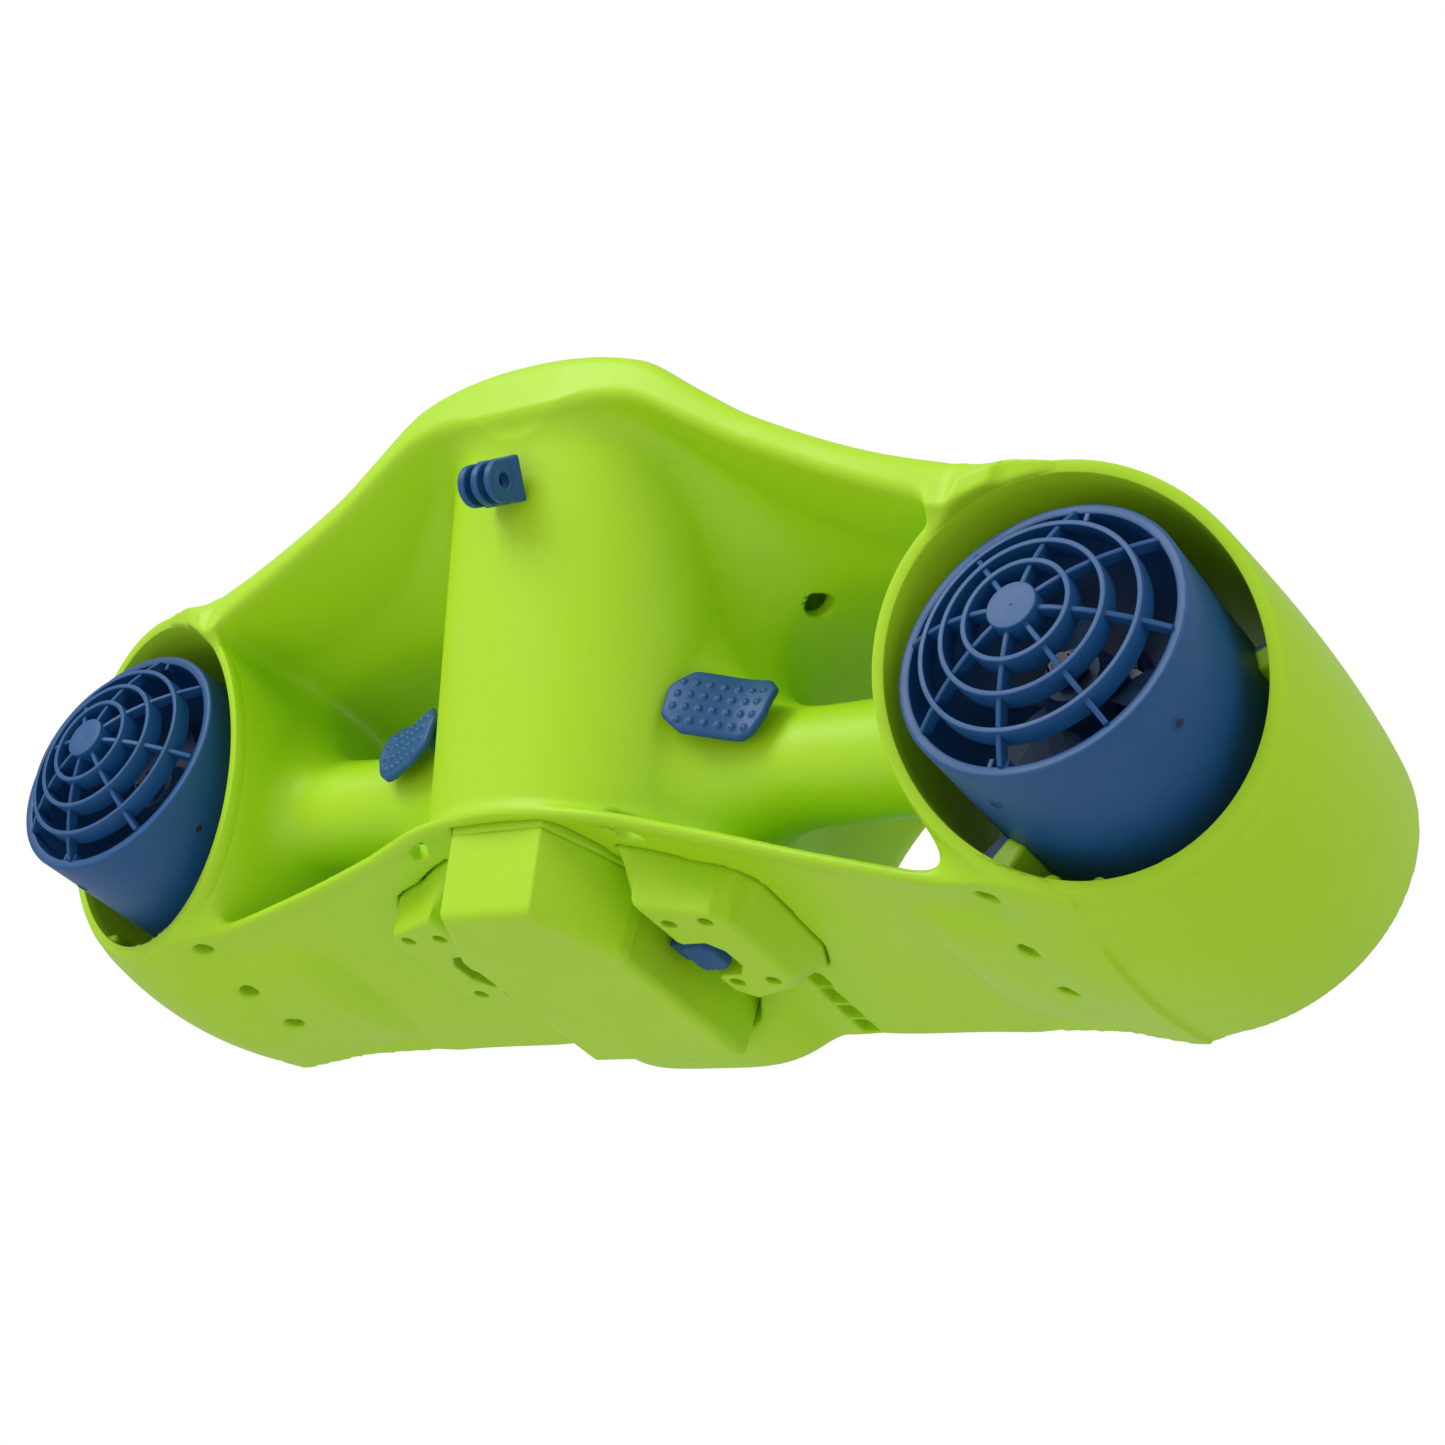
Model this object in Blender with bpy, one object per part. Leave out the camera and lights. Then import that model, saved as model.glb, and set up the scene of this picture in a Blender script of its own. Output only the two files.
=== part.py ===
"""Twin-duct underwater scooter. Lengths below are in millimetres, and the meshes are made in metres.

Frame: +Z up, -Y the direction of travel, +X the rider's left. The origin lies under the middle of the
scooter, at the level of the battery's flat bottom. Left pieces are at +X, right pieces are their mirror.
"""
import math

import bmesh
import bpy
from mathutils import Matrix, Vector

MM = 0.001
GAP = 0.3

# Driving dimensions
DUCT_R = 48.0
DUCT_WALL = 4.0
DUCT_X = 205.5
DUCT_Z = 73.0
DUCT_FRONT = -57.6
DUCT_REAR = 62.0
SHROUD_BORE = 58.5
SHROUD_RIM = 62.4
SHROUD_REAR = 80.0
SHEET = 3.4
BODY_HALF = 60.0
BODY_REAR = 98.0
COLUMN_LEAN = 0.344
PARTING_Z = 90.0
COLUMN_FOREMOST = -97.0
HANDLE_R = 20.0
HANDLE_Y = -5.0
HANDLE_Z = 71.0
TRIGGER_PIN = (45.0, -27.5)
BATTERY_HALF = 35.0
BATTERY_TOP = 52.0
RETAINER_FACE = 11.8
SIDES = (("left", 1), ("right", -1))

# Outlines of the two long panels, as (distance from the middle, value)
ROOF_FRONT_Y = ((0, -103.3), (48, -100.5), (94, -87.4), (138, -76.8), (178, -66.5), (206, -60.0))
ROOF_TOP_Z = ((0, 189.0), (48, 183.0), (72, 170.5), (94, 159.4), (138, 144.0), (178, 137.6), (206, 136.0))
PLATE_FRONT_Y = ((0, -55.0), (36, -49.5), (75, -35.0), (116, -25.5), (166, -17.0), (206, -13.0))
PLATE_TOP_Z = ((0, 36.2), (36, 35.8), (75, 33.2), (116, 26.5), (166, 19.0), (206, 16.0))
PLATE_REAR_Y = 98.0
PLATE_REAR_DROP = ((0, 9.0), (75, 7.0), (116, 1.0), (166, -4.0), (206, -5.0))

GREEN = ("body_green", (0.36, 0.64, 0.01), 0.42, 0.0)
BLUE = ("trim_blue", (0.015, 0.09, 0.25), 0.42, 0.0)
STEEL = ("stainless_steel", (0.62, 0.62, 0.60), 0.3, 1.0)
BLACK = ("black_plastic", (0.02, 0.02, 0.022), 0.5, 0.0)
DARK_METAL = ("anodised_metal", (0.09, 0.10, 0.11), 0.4, 1.0)


def clear_scene():
    for item in list(bpy.data.objects):
        bpy.data.objects.remove(item, do_unlink=True)


def material_of(finish):
    name, colour, roughness, metallic = finish
    material = bpy.data.materials.get(name)
    if material is None:
        material = bpy.data.materials.new(name)
        material.use_nodes = True
        shader = material.node_tree.nodes["Principled BSDF"]
        shader.inputs["Base Color"].default_value = (*colour, 1.0)
        shader.inputs["Roughness"].default_value = roughness
        shader.inputs["Metallic"].default_value = metallic
        material.diffuse_color = (*colour, 1.0)
    return material


def solid(name, points, faces, finish, origin=(0, 0, 0)):
    """One closed piece from points in world millimetres, with its origin where asked."""
    mesh = bpy.data.meshes.new(name)
    shift = Vector(origin)
    mesh.from_pydata([(Vector(point) - shift) * MM for point in points], [], faces)
    work = bmesh.new()
    work.from_mesh(mesh)
    bmesh.ops.recalc_face_normals(work, faces=work.faces)
    work.normal_update()
    bmesh.ops.triangulate(work, faces=[face for face in work.faces if is_warped(face)])
    work.to_mesh(mesh)
    work.free()
    mesh.materials.append(material_of(finish))
    mesh.shade_smooth()
    mesh.set_sharp_from_angle(angle=math.radians(32))
    piece = bpy.data.objects.new(name, mesh)
    piece.location = shift * MM
    bpy.context.collection.objects.link(piece)
    return piece


def is_warped(face):
    middle = face.calc_center_median()
    return max(abs((vertex.co - middle).dot(face.normal)) for vertex in face.verts) > 1e-6


def skin(rings, ring_closed=True, ends="cap"):
    """Points and faces through rings of equal length. Ends are capped, or joined to each other."""
    count = len(rings[0])
    points = [point for ring in rings for point in ring]
    faces = []
    spans = len(rings) if ends == "join" else len(rings) - 1
    for i in range(spans):
        here = i * count
        there = (i + 1) % len(rings) * count
        for j in range(count if ring_closed else count - 1):
            k = (j + 1) % count
            faces.append((here + j, here + k, there + k, there + j))
    if ends == "cap":
        faces.append(tuple(range(count)))
        last = (len(rings) - 1) * count
        faces.append(tuple(range(last + count - 1, last - 1, -1)))
    return points, faces


def loft(name, rings, finish, ends="cap", origin=(0, 0, 0)):
    points, faces = skin(rings, ends=ends)
    return solid(name, points, faces, finish, origin)


def turned(name, profile, segments, centre, finish, axis="Y", origin=(0, 0, 0)):
    """A ring turned from a closed (radius, along) profile that stays off the axis."""
    rings = []
    for i in range(segments):
        angle = 2 * math.pi * i / segments
        rings.append([on_axis(centre, axis, r, angle, along) for r, along in profile])
    return loft(name, rings, finish, ends="join", origin=origin)


def spindle(name, profile, segments, centre, finish, axis="Y", origin=(0, 0, 0)):
    """A solid of round stations (radius, along), flat at both ends."""
    rings = []
    for r, along in profile:
        turn = (2 * math.pi * i / segments for i in range(segments))
        rings.append([on_axis(centre, axis, r, angle, along) for angle in turn])
    return loft(name, rings, finish, origin=origin)


def on_axis(centre, axis, r, angle, along):
    a = r * math.cos(angle)
    b = r * math.sin(angle)
    x, y, z = centre
    if axis == "X":
        return (x + along, y + a, z + b)
    if axis == "Y":
        return (x + a, y + along, z + b)
    return (x + a, y + b, z + along)


def block(name, low, high, finish, origin=(0, 0, 0), bevel=0.0):
    x0, y0, z0 = low
    x1, y1, z1 = high
    rings = [[(x0, y0, z), (x1, y0, z), (x1, y1, z), (x0, y1, z)] for z in (z0, z1)]
    piece = loft(name, rings, finish, origin=origin)
    if bevel:
        edge = piece.modifiers.new("edge", "BEVEL")
        edge.width = bevel * MM
        edge.segments = 1
    return piece


def combine(piece, others, operation):
    for other in others:
        change = piece.modifiers.new(other.name, "BOOLEAN")
        change.operation = operation
        change.solver = "EXACT"
        change.object = other
        other.hide_render = True
        other.display_type = "WIRE"


def cut(piece, *cutters):
    combine(piece, cutters, "DIFFERENCE")


def join(piece, *others):
    combine(piece, others, "UNION")


def smooth_step(t):
    t = min(max(t, 0.0), 1.0)
    return t * t * (3 - 2 * t)


def along_outline(outline, x):
    """Smooth curve through an outline's points: cubic pieces with the neighbours' mean slope."""
    x = abs(x)
    last = len(outline) - 1
    if x >= outline[last][0]:
        return outline[last][1]
    i = max(k for k in range(last) if outline[k][0] <= x)
    slopes = []
    for k in (i, i + 1):
        before = outline[max(k - 1, 0)]
        after = outline[min(k + 1, last)]
        slopes.append(0.0 if k == 0 else (after[1] - before[1]) / (after[0] - before[0]))
    (x0, y0), (x1, y1) = outline[i], outline[i + 1]
    span = x1 - x0
    t = (x - x0) / span
    rise = (2 * t**3 - 3 * t**2 + 1) * y0 + (3 * t**2 - 2 * t**3) * y1
    return rise + span * ((t**3 - 2 * t**2 + t) * slopes[0] + (t**3 - t**2) * slopes[1])


def mirrored(point, sign):
    return (point[0] * sign, point[1], point[2])


# Shrouds: rings round the ducts, whose front rims sweep back outboard and lean forward at the top

def shroud_front(x, z):
    return -37.9 + 0.24 * (abs(x) - DUCT_X) - 0.39 * (z - DUCT_Z)


def shroud_outer(angle, y):
    """Outer radius at an angle from outboard towards the top: fuller in the middle and underneath."""
    front = shroud_front(DUCT_X + 60 * math.cos(angle), DUCT_Z + 60 * math.sin(angle))
    t = (y - front) / (SHROUD_REAR - front)
    fullness = 4.0 + 2.5 * math.cos(angle + math.radians(75))
    return SHROUD_RIM + fullness * math.sin(math.pi * min(max(t, 0.0), 1.0)) ** 0.8


def shroud_point(angle, r, y, sign):
    return (sign * (DUCT_X + r * math.cos(angle)), y, DUCT_Z + r * math.sin(angle))


def make_shroud(side, sign):
    rings = []
    segments = 32
    for i in range(segments):
        angle = 2 * math.pi * i / segments
        front = shroud_front(DUCT_X + 60 * math.cos(angle), DUCT_Z + 60 * math.sin(angle))
        profile = [(SHROUD_BORE, front + 1.5), (SHROUD_BORE + 1.6, front), (SHROUD_RIM - 0.6, front + 0.4)]
        for t in (0.08, 0.25, 0.5, 0.75, 0.92):
            y = front + t * (SHROUD_REAR - front)
            profile.append((shroud_outer(angle, y), y))
        profile += [(SHROUD_RIM - 0.4, SHROUD_REAR), (SHROUD_BORE + 1.0, SHROUD_REAR)]
        rings.append([shroud_point(angle, r, y, sign) for r, y in profile])
    return loft("shroud_" + side, rings, GREEN, ends="join")


# Long panels: sheets from shroud to shroud, whose ends lie along the shrouds' outsides

def end_point(angle_degrees, y):
    angle = math.radians(angle_degrees)
    r = shroud_outer(angle, y) + 2 * GAP
    return DUCT_X + r * math.cos(angle), DUCT_Z + r * math.sin(angle)


def roof_top(x, y):
    base = ROOF_TOP_Z[-1][1] + 1.6
    back = smooth_step((y + 100) / 200)
    return base + (along_outline(ROOF_TOP_Z, x) - base) * (1 - 0.72 * back)


def plate_top(x, y):
    front = along_outline(PLATE_FRONT_Y, x)
    t = (y - front) / (PLATE_REAR_Y - front)
    return along_outline(PLATE_TOP_Z, x) - along_outline(PLATE_REAR_DROP, x) * smooth_step(t)


def panel_ring(fraction, ends, front_y, rear_y, heights, lip):
    """Section of a panel at a fraction of its half width: the upper side back, the lower side forward."""
    high_end, low_end = ends
    high, low = heights
    stations = (0.0, 0.02, 0.06, 0.2, 0.4, 0.6, 0.8, 0.97, 1.0)
    ring = []
    for upper in (True, False):
        for t in stations if upper else reversed(stations):
            x_guess = fraction * end_point(high_end if upper else low_end, 0)[0]
            y = front_y(x_guess) + t * (rear_y - front_y(x_guess))
            x_end, z_end = end_point(high_end if upper else low_end, y)
            x = fraction * x_end
            z = (high if upper else low)(x, y)
            blend = smooth_step((fraction - 0.8) / 0.2) if fraction > 0.8 else 0.0
            z = z + (z_end - z) * blend
            z += lip(t, upper) * (1 - blend)
            ring.append((x, y, z))
    return ring


def panel(name, ends, front_y, rear_y, heights, lip):
    half = (0.0, 0.1, 0.2, 0.3, 0.4, 0.5, 0.6, 0.7, 0.8, 0.87, 0.94, 1.0)
    rings = [[mirrored(p, -1) for p in panel_ring(f, ends, front_y, rear_y, heights, lip)]
             for f in reversed(half[1:])]
    rings += [panel_ring(f, ends, front_y, rear_y, heights, lip) for f in half]
    return loft(name, rings, GREEN)


def roof_lip(t, upper):
    """The rolled front lip: rounded above, hanging below."""
    edge = {0.0: -5.0, 0.02: -1.0}.get(t, 0.0)
    if upper:
        return edge
    return {0.0: -3.6, 0.02: -8.2, 0.06: -6.0}.get(t, 0.0)


def plate_lip(t, upper):
    if upper:
        return {0.0: -1.6, 0.02: 0.0}.get(t, 0.0)
    return {0.0: -1.4, 0.02: -2.6, 0.06: -1.6}.get(t, 0.0)


def make_roof():
    def front(x):
        return along_outline(ROOF_FRONT_Y, x)

    def low(x, y):
        return roof_top(x, y) - SHEET
    roof = panel("roof_cover", (99, 131), front, 84.0, (roof_top, low), roof_lip)
    cut(roof, *[shroud_clearance(side, sign) for side, sign in SIDES])
    return roof


def shroud_clearance(side, sign):
    """Solid a gap larger than the shroud, that trims whatever meets it."""
    rings = []
    for y in (-90, -60, -40, -20, 0, 20, 40, 60, 75, 95):
        turn = (2 * math.pi * i / 32 for i in range(32))
        rings.append([shroud_point(angle, shroud_outer(angle, y) + GAP, y, sign) for angle in turn])
    return loft("shroud_clearance_" + side, rings, GREEN)


def make_plate():
    def front(x):
        return along_outline(PLATE_FRONT_Y, x)

    def low(x, y):
        return plate_top(x, y) - SHEET
    plate = panel("bottom_plate", (226, 236), front, PLATE_REAR_Y, (plate_top, low), plate_lip)
    opening = block("battery_opening", (-37, -45.5, 0), (37, 71, 60), GREEN)
    cutters = [opening]
    for side, sign in SIDES:
        for x, y in retainer_screw_places():
            centre = (sign * x, y, 0)
            cutters.append(spindle("plate_hole", ((1.9, 5), (1.9, 60)), 8, centre, GREEN, "Z"))
    cut(plate, *cutters)
    return plate


# Central body: a leaning round-fronted column, open at the back, closed by the rear cover

def column_middle(z):
    return -7.7 - COLUMN_LEAN * (z - DUCT_Z)


def column_path(z, r, rear):
    """Half-round front between straight sides, from the rear left corner to the rear right corner."""
    middle = column_middle(z)
    arc = [(r * math.cos(math.pi * i / 14), middle - r * math.sin(math.pi * i / 14)) for i in range(15)]
    return [(r, rear), (r, (middle + rear) / 2), *arc, (-r, (middle + rear) / 2), (-r, rear)]


def column_ring(z_of, r):
    """U-shaped section: the outer path there, and the inner path back."""
    rear = BODY_REAR - SHEET - GAP
    outer = column_path(z_of(0, 0, False), r, rear)
    inner = column_path(z_of(0, 0, False), r - 3.0, rear)
    path = outer + inner[::-1]
    ring = []
    for i, (x, y) in enumerate(path):
        y = max(y, COLUMN_FOREMOST if i < len(outer) else COLUMN_FOREMOST + 3)
        ring.append((x, y, z_of(x, y, True)))
    return ring


def column_between(name, low, high, radii):
    """The column's shell between two height functions, through evenly spread radii."""
    rings = []
    steps = len(radii) - 1
    for i, r in enumerate(radii):
        t = i / steps

        def height(x, y, exact, t=t):
            if not exact:
                return low(0, -60) + t * (high(0, -60) - low(0, -60))
            return low(x, y) + t * (high(x, y) - low(x, y))
        rings.append(column_ring(height, r))
    return loft(name, rings, GREEN)


def make_column():
    def floor(x, y):
        return plate_top(x, max(y, -54)) + GAP

    def under_parting(x, y):
        return PARTING_Z - GAP / 2

    def over_parting(x, y):
        return PARTING_Z + GAP / 2

    def ceiling(x, y):
        return roof_top(x, max(y, -90)) - SHEET - 7 * smooth_step((-55 - y) / 25) - 5 * GAP
    lower = column_between("pillar_lower", floor, under_parting, (60.5, 60, 60, 60))
    upper = column_between("pillar_upper", over_parting, ceiling, (60, 60, 60.5, 62, 66))
    for side, sign in SIDES:
        pocket = block("trigger_slot_" + side, (sign * 34, -48, 73), (sign * 70, -21, 91), GREEN)
        cut(lower, pocket)
        cut(upper, pocket)
        grip = spindle("handle_socket_" + side, ((16.4, 40), (16.4, 80)), 24,
                       (0, HANDLE_Y, HANDLE_Z), GREEN, "X")
        for vertex in grip.data.vertices:
            vertex.co.x *= sign
        if sign < 0:
            grip.data.flip_normals()
        cut(lower, grip)
    return lower, upper


def make_rear_cover():
    """Shallow dished cover from the floor panel up to the roof."""
    rings = []
    for y, inset in ((BODY_REAR - SHEET, 0.0), (BODY_REAR, 0.0), (BODY_REAR + 3.2, 5.0)):
        ring = []
        half = BODY_HALF - inset
        for i in range(9):
            x = -half + 2 * half * i / 8
            ring.append((x, y, 30.0 + inset + 2 * GAP))
        for i in range(9):
            x = half - 2 * half * i / 8
            ring.append((x, y, roof_top(x, 84.0) - SHEET - inset - 2 * GAP))
        rings.append(ring)
    cover = loft("rear_cover", rings, GREEN)
    return cover


# Handles: round grips that flare into the central body

def make_handle(side, sign):
    end = DUCT_X - SHROUD_RIM - 5.5
    outer = ((31, 61.0), (28, 63), (25, 68), (22.6, 76), (21, 88), (HANDLE_R, 100), (HANDLE_R, end))
    profile = list(outer) + [(HANDLE_R - 3.2, end), (HANDLE_R - 3.6, 61.0)]
    ring = turned("handle_" + side, [(r, x * sign) for r, x in profile], 24,
                  (0, HANDLE_Y, HANDLE_Z), GREEN, "X")
    return ring


# Ducts and what they hold

def make_duct(side, sign):
    centre = (sign * DUCT_X, 0, DUCT_Z)
    inside = DUCT_R - DUCT_WALL
    profile = ((inside, DUCT_FRONT), (DUCT_R - 0.8, DUCT_FRONT), (DUCT_R, DUCT_FRONT + 0.8),
               (DUCT_R, DUCT_REAR - 30), (DUCT_R - 2.5, DUCT_REAR), (inside - 3.0, DUCT_REAR),
               (inside, DUCT_REAR - 34))
    return turned("duct_" + side, profile, 32, centre, BLUE)


def dome(r):
    """How far the grille stands in front of the duct's rim at a radius."""
    return 17.8 * (1 - (r / DUCT_R) ** 2)


def make_grille(side, sign):
    centre = (sign * DUCT_X, DUCT_FRONT, DUCT_Z)
    hub = spindle("grille_" + side, ((8.2, -17.4), (8.2, -9.0)), 16, centre, BLUE)
    parts = []
    for r in (18.1, 27.6, 37.1):
        face = -dome(r)
        profile = ((r - 1.7, face), (r, face), (r, face + 7.0), (r - 1.7, face + 7.0))
        parts.append(turned("grille_ring", profile, 16, centre, BLUE))
    for i in range(8):
        spoke = make_spoke(math.radians(45 * i - 4), centre)
        parts.append(spoke)
    join(hub, *parts)
    return hub


def make_spoke(angle, centre):
    across = Vector((-math.sin(angle), 0, math.cos(angle)))
    out = Vector((math.cos(angle), 0, math.sin(angle)))
    rings = []
    for r in (6.0, 26.0, DUCT_R - DUCT_WALL - GAP):
        ring = []
        for side, depth in ((-0.8, 1.2), (0.8, 1.2), (0.8, 5.6), (-0.8, 5.6)):
            point = Vector(centre) + out * r + across * side + Vector((0, depth - dome(r), 0))
            ring.append(tuple(point))
        rings.append(ring)
    return loft("grille_spoke", rings, BLUE)


def make_drive(side, sign):
    """Shaft, propeller, nut, motor can and stator on one duct's axis, from the front."""
    centre = (sign * DUCT_X, 0, DUCT_Z)
    spindle("motor_shaft_" + side, ((3.0, -44), (3.0, 6.5)), 12, centre, STEEL, origin=centre)
    nut = ((4.8, -43.0), (6.4, -41.0), (6.4, -37.3), (3.8, -37.3), (3.8, -43.0))
    turned("prop_nut_" + side, nut, 6, centre, STEEL, origin=centre)
    hub = ((3.3, -37.0), (9.5, -37.0), (13.0, -31.0), (13.0, -15.0), (3.3, -15.0))
    propeller = turned("propeller_" + side, hub, 24, centre, BLACK, origin=centre)
    blades = [make_blade(centre, 2 * math.pi * i / 3, sign) for i in range(3)]
    join(propeller, *blades)
    can = ((3.3, -14.6), (17.0, -14.6), (18.0, -13.0), (18.0, 5.8), (3.3, 5.8))
    turned("motor_can_" + side, can, 24, centre, DARK_METAL, origin=centre)
    make_stator(side, centre)


def make_blade(centre, angle, hand):
    """A twisted blade from inside the hub to just short of the duct."""
    rings = []
    for i in range(6):
        r = 11.0 + (DUCT_R - DUCT_WALL - 2.0 - 11.0) * i / 5
        chord = 17.0 + 7.0 * math.sin(math.pi * i / 5)
        pitch = math.atan2(34.0, 2 * math.pi * r * 0.5) * hand
        ring = []
        for u, thick in ((-0.5, 0.0), (-0.2, 0.9), (0.2, 0.9), (0.5, 0.0), (0.2, -0.7), (-0.2, -0.7)):
            run = u * chord * math.cos(pitch) - thick * math.sin(pitch)
            rise = u * chord * math.sin(pitch) + thick * math.cos(pitch)
            turn = angle + run / r
            ring.append((centre[0] + r * math.cos(turn), centre[1] - 26.0 + rise * 0.8,
                         centre[2] + r * math.sin(turn)))
        rings.append(ring)
    return loft("blade", rings, BLACK, origin=centre)


def make_stator(side, centre):
    hub = ((3.4, 6.2), (18.0, 6.2), (18.0, 30.0), (13.0, 42.0), (3.4, 42.0))
    stator = turned("stator_" + side, hub, 24, centre, BLACK)
    inside = DUCT_R - DUCT_WALL - GAP
    vanes = []
    for i in range(7):
        angle = 2 * math.pi * i / 7
        across = Vector((-math.sin(angle), 0, math.cos(angle)))
        out = Vector((math.cos(angle), 0, math.sin(angle)))
        rings = []
        for r in (15.0, inside):
            ring = []
            for y, side_step in ((9, -2.2), (18, -0.2), (27, 1.0), (27, 2.2), (18, 1.4), (9, -0.6)):
                ring.append(tuple(Vector(centre) + out * r + across * side_step + Vector((0, y, 0))))
            rings.append(ring)
        vanes.append(loft("vane", rings, BLACK))
    join(stator, *vanes)


def make_duct_bracket(side, sign, name, middle, half, y0, y1):
    """Saddle that fills the gap between duct and shroud over a short arc."""
    rings = []
    for y in (y0, y1):
        ring = []
        for r, order in ((DUCT_R + GAP, 1), (SHROUD_BORE - 2 * GAP, -1)):
            for step in (-1, -0.33, 0.33, 1):
                ring.append(shroud_point(math.radians(middle + half * step * order), r, y, sign))
        rings.append(ring)
    return loft(f"duct_bracket_{side}_{name}", rings, GREEN)


def duct_screw_places():
    return [(math.radians(242), y) for y in (-9.5, 18.5, 45.5)]


def make_duct_screws(side, sign, shroud, bracket):
    for i, (angle, y) in enumerate(duct_screw_places()):
        out = Vector((math.cos(angle) * sign, 0, math.sin(angle)))
        foot = Vector((sign * DUCT_X, y, DUCT_Z))
        skin_r = shroud_outer(angle, y)
        recess = radial_pin(f"shroud_recess_{i}", foot, out, ((3.7, skin_r - 6.2), (3.7, skin_r + 4)))
        hole = radial_pin(f"shroud_hole_{i}", foot, out, ((1.9, DUCT_R + 1.6), (1.9, skin_r + 4)))
        cut(shroud, recess, hole)
        cut(bracket, hole)
        stations = ((1.6, DUCT_R + 2.0), (1.6, skin_r - 6.0), (3.2, skin_r - 5.9), (3.2, skin_r - 4.2))
        head = radial_pin(f"duct_screw_{side}_{i + 1}", foot, out, stations)
        head.data.materials[0] = material_of(STEEL)


def radial_pin(name, foot, out, stations):
    """Round stations (radius, distance from the foot) along a direction."""
    turn = Vector((0, 0, 1)).rotation_difference(out).to_matrix()
    rings = []
    for r, distance in stations:
        ring = []
        for i in range(8):
            angle = 2 * math.pi * i / 8
            local = Vector((r * math.cos(angle), r * math.sin(angle), distance))
            ring.append(tuple(foot + turn @ local))
        rings.append(ring)
    return loft(name, rings, GREEN)


# Triggers: dished pads in front of the grips, swinging on upright pins inside the column

def trigger_face(u, v):
    """Front of the pad: u runs outboard, v runs up. The top curls back over the grip."""
    x = 53.5 + (29.0 + 5.5 * v) * u
    z = 68.0 - 3.5 * u + 25.5 * v
    y = -44.0 + 11.0 * smooth_step(u * 1.1)
    y += 9.0 * max(v - 0.5, 0) ** 1.6 + 3.0 * max(0.25 - v, 0)
    return x, y, z


def make_trigger(side, sign):
    across, up = 9, 7
    front = []
    back = []
    for j in range(up):
        for i in range(across):
            u, v = round_corner(i / (across - 1), j / (up - 1))
            x, y, z = trigger_face(u, v)
            front.append((sign * x, y, z))
            back.append((sign * x, y + 3.2, z))
    points = front + back
    faces = []
    count = across * up
    for j in range(up - 1):
        for i in range(across - 1):
            a = j * across + i
            quad = (a, a + 1, a + 1 + across, a + across)
            faces.append(quad)
            faces.append(tuple(k + count for k in reversed(quad)))
    rim = [i for i in range(across)]
    rim += [j * across + across - 1 for j in range(1, up)]
    rim += [(up - 1) * across + i for i in range(across - 2, -1, -1)]
    rim += [j * across for j in range(up - 2, 0, -1)]
    for a, b in zip(rim, rim[1:] + rim[:1]):
        faces.append((a, b, b + count, a + count))
    pin_x, pin_y = TRIGGER_PIN
    origin = (sign * pin_x, pin_y, 0)
    pad = solid("trigger_" + side, points, faces, BLUE, origin)
    arm = block("trigger_arm_" + side, (sign * (pin_x - 3), pin_y - 3, 76), (sign * 60, pin_y + 3, 88), BLUE)
    lead = block("trigger_lead_" + side, (sign * 54.5, -40.5, 76), (sign * 60, pin_y + 1, 88), BLUE)
    knuckle = spindle("trigger_knuckle_" + side, ((4.2, 76), (4.2, 88)), 16, (*origin[:2], 0), BLUE, "Z")
    bore = spindle("trigger_bore_" + side, ((1.8, 70), (1.8, 94)), 16, (*origin[:2], 0), BLUE, "Z")
    join(pad, arm, lead, knuckle)
    cut(pad, bore)
    spindle("trigger_pin_" + side, ((1.5, 70.4), (1.5, 93.6)), 12, (*origin[:2], 0), STEEL, "Z")
    make_trigger_bracket(side, sign)


def round_corner(u, v):
    """Squeezes a unit square's corners in, so that the pad's outline is rounded."""
    a = 2 * u - 1
    b = 2 * v - 1
    pull = 0.12 if a > 0 else 0.22
    return 0.5 + 0.5 * a * (1 - pull * b * b), 0.5 + 0.5 * b * (1 - pull * a * a)


def make_trigger_bracket(side, sign):
    """C-shaped bracket that holds the pin above and below the knuckle."""
    x, y = TRIGGER_PIN
    outline = [(66, -4.5), (75, -4.5), (75, 6), (89, 6), (89, -4.5), (98, -4.5), (98, 10), (66, 10)]
    rings = []
    for step in (-4.5, 4.5):
        rings.append([(sign * (x + step), y + dy, z) for z, dy in outline])
    bracket = loft("trigger_bracket_" + side, rings, BLACK)
    bore = spindle("bracket_bore_" + side, ((1.8, 69.5), (1.8, 94.5)), 12, (sign * x, y, 0), BLACK, "Z")
    cut(bracket, bore)


# Underside: battery, retainers and latches

def make_battery():
    half = BATTERY_HALF
    outline = [(-17.4, -41), (17.4, -41), (half, -8.5), (half, 68.5), (-half, 68.5), (-half, -8.5)]
    rings = []
    for z, inset in ((0.0, 1.2), (1.2, 0.0), (30.0, -0.2), (BATTERY_TOP - 1, 1.0), (BATTERY_TOP, 2.2)):
        rings.append([(x - math.copysign(inset, x), y - math.copysign(inset, y), z) for x, y in outline])
    return loft("battery_pack", rings, GREEN)


def retainer_outline():
    return [(38, -29), (48, -24.5), (60, -17.5), (76, -11), (81.5, -3), (81.5, 36), (76.5, 47),
            (62, 50), (49, 52), (41, 46), (38, 40)]


def retainer_screw_places():
    return [(51.6, -8.6), (66.7, -8.6), (51.3, 33.6), (66.3, 33.6)]


def plate_under(x, y):
    return plate_top(x, y) - SHEET - 0.9


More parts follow.
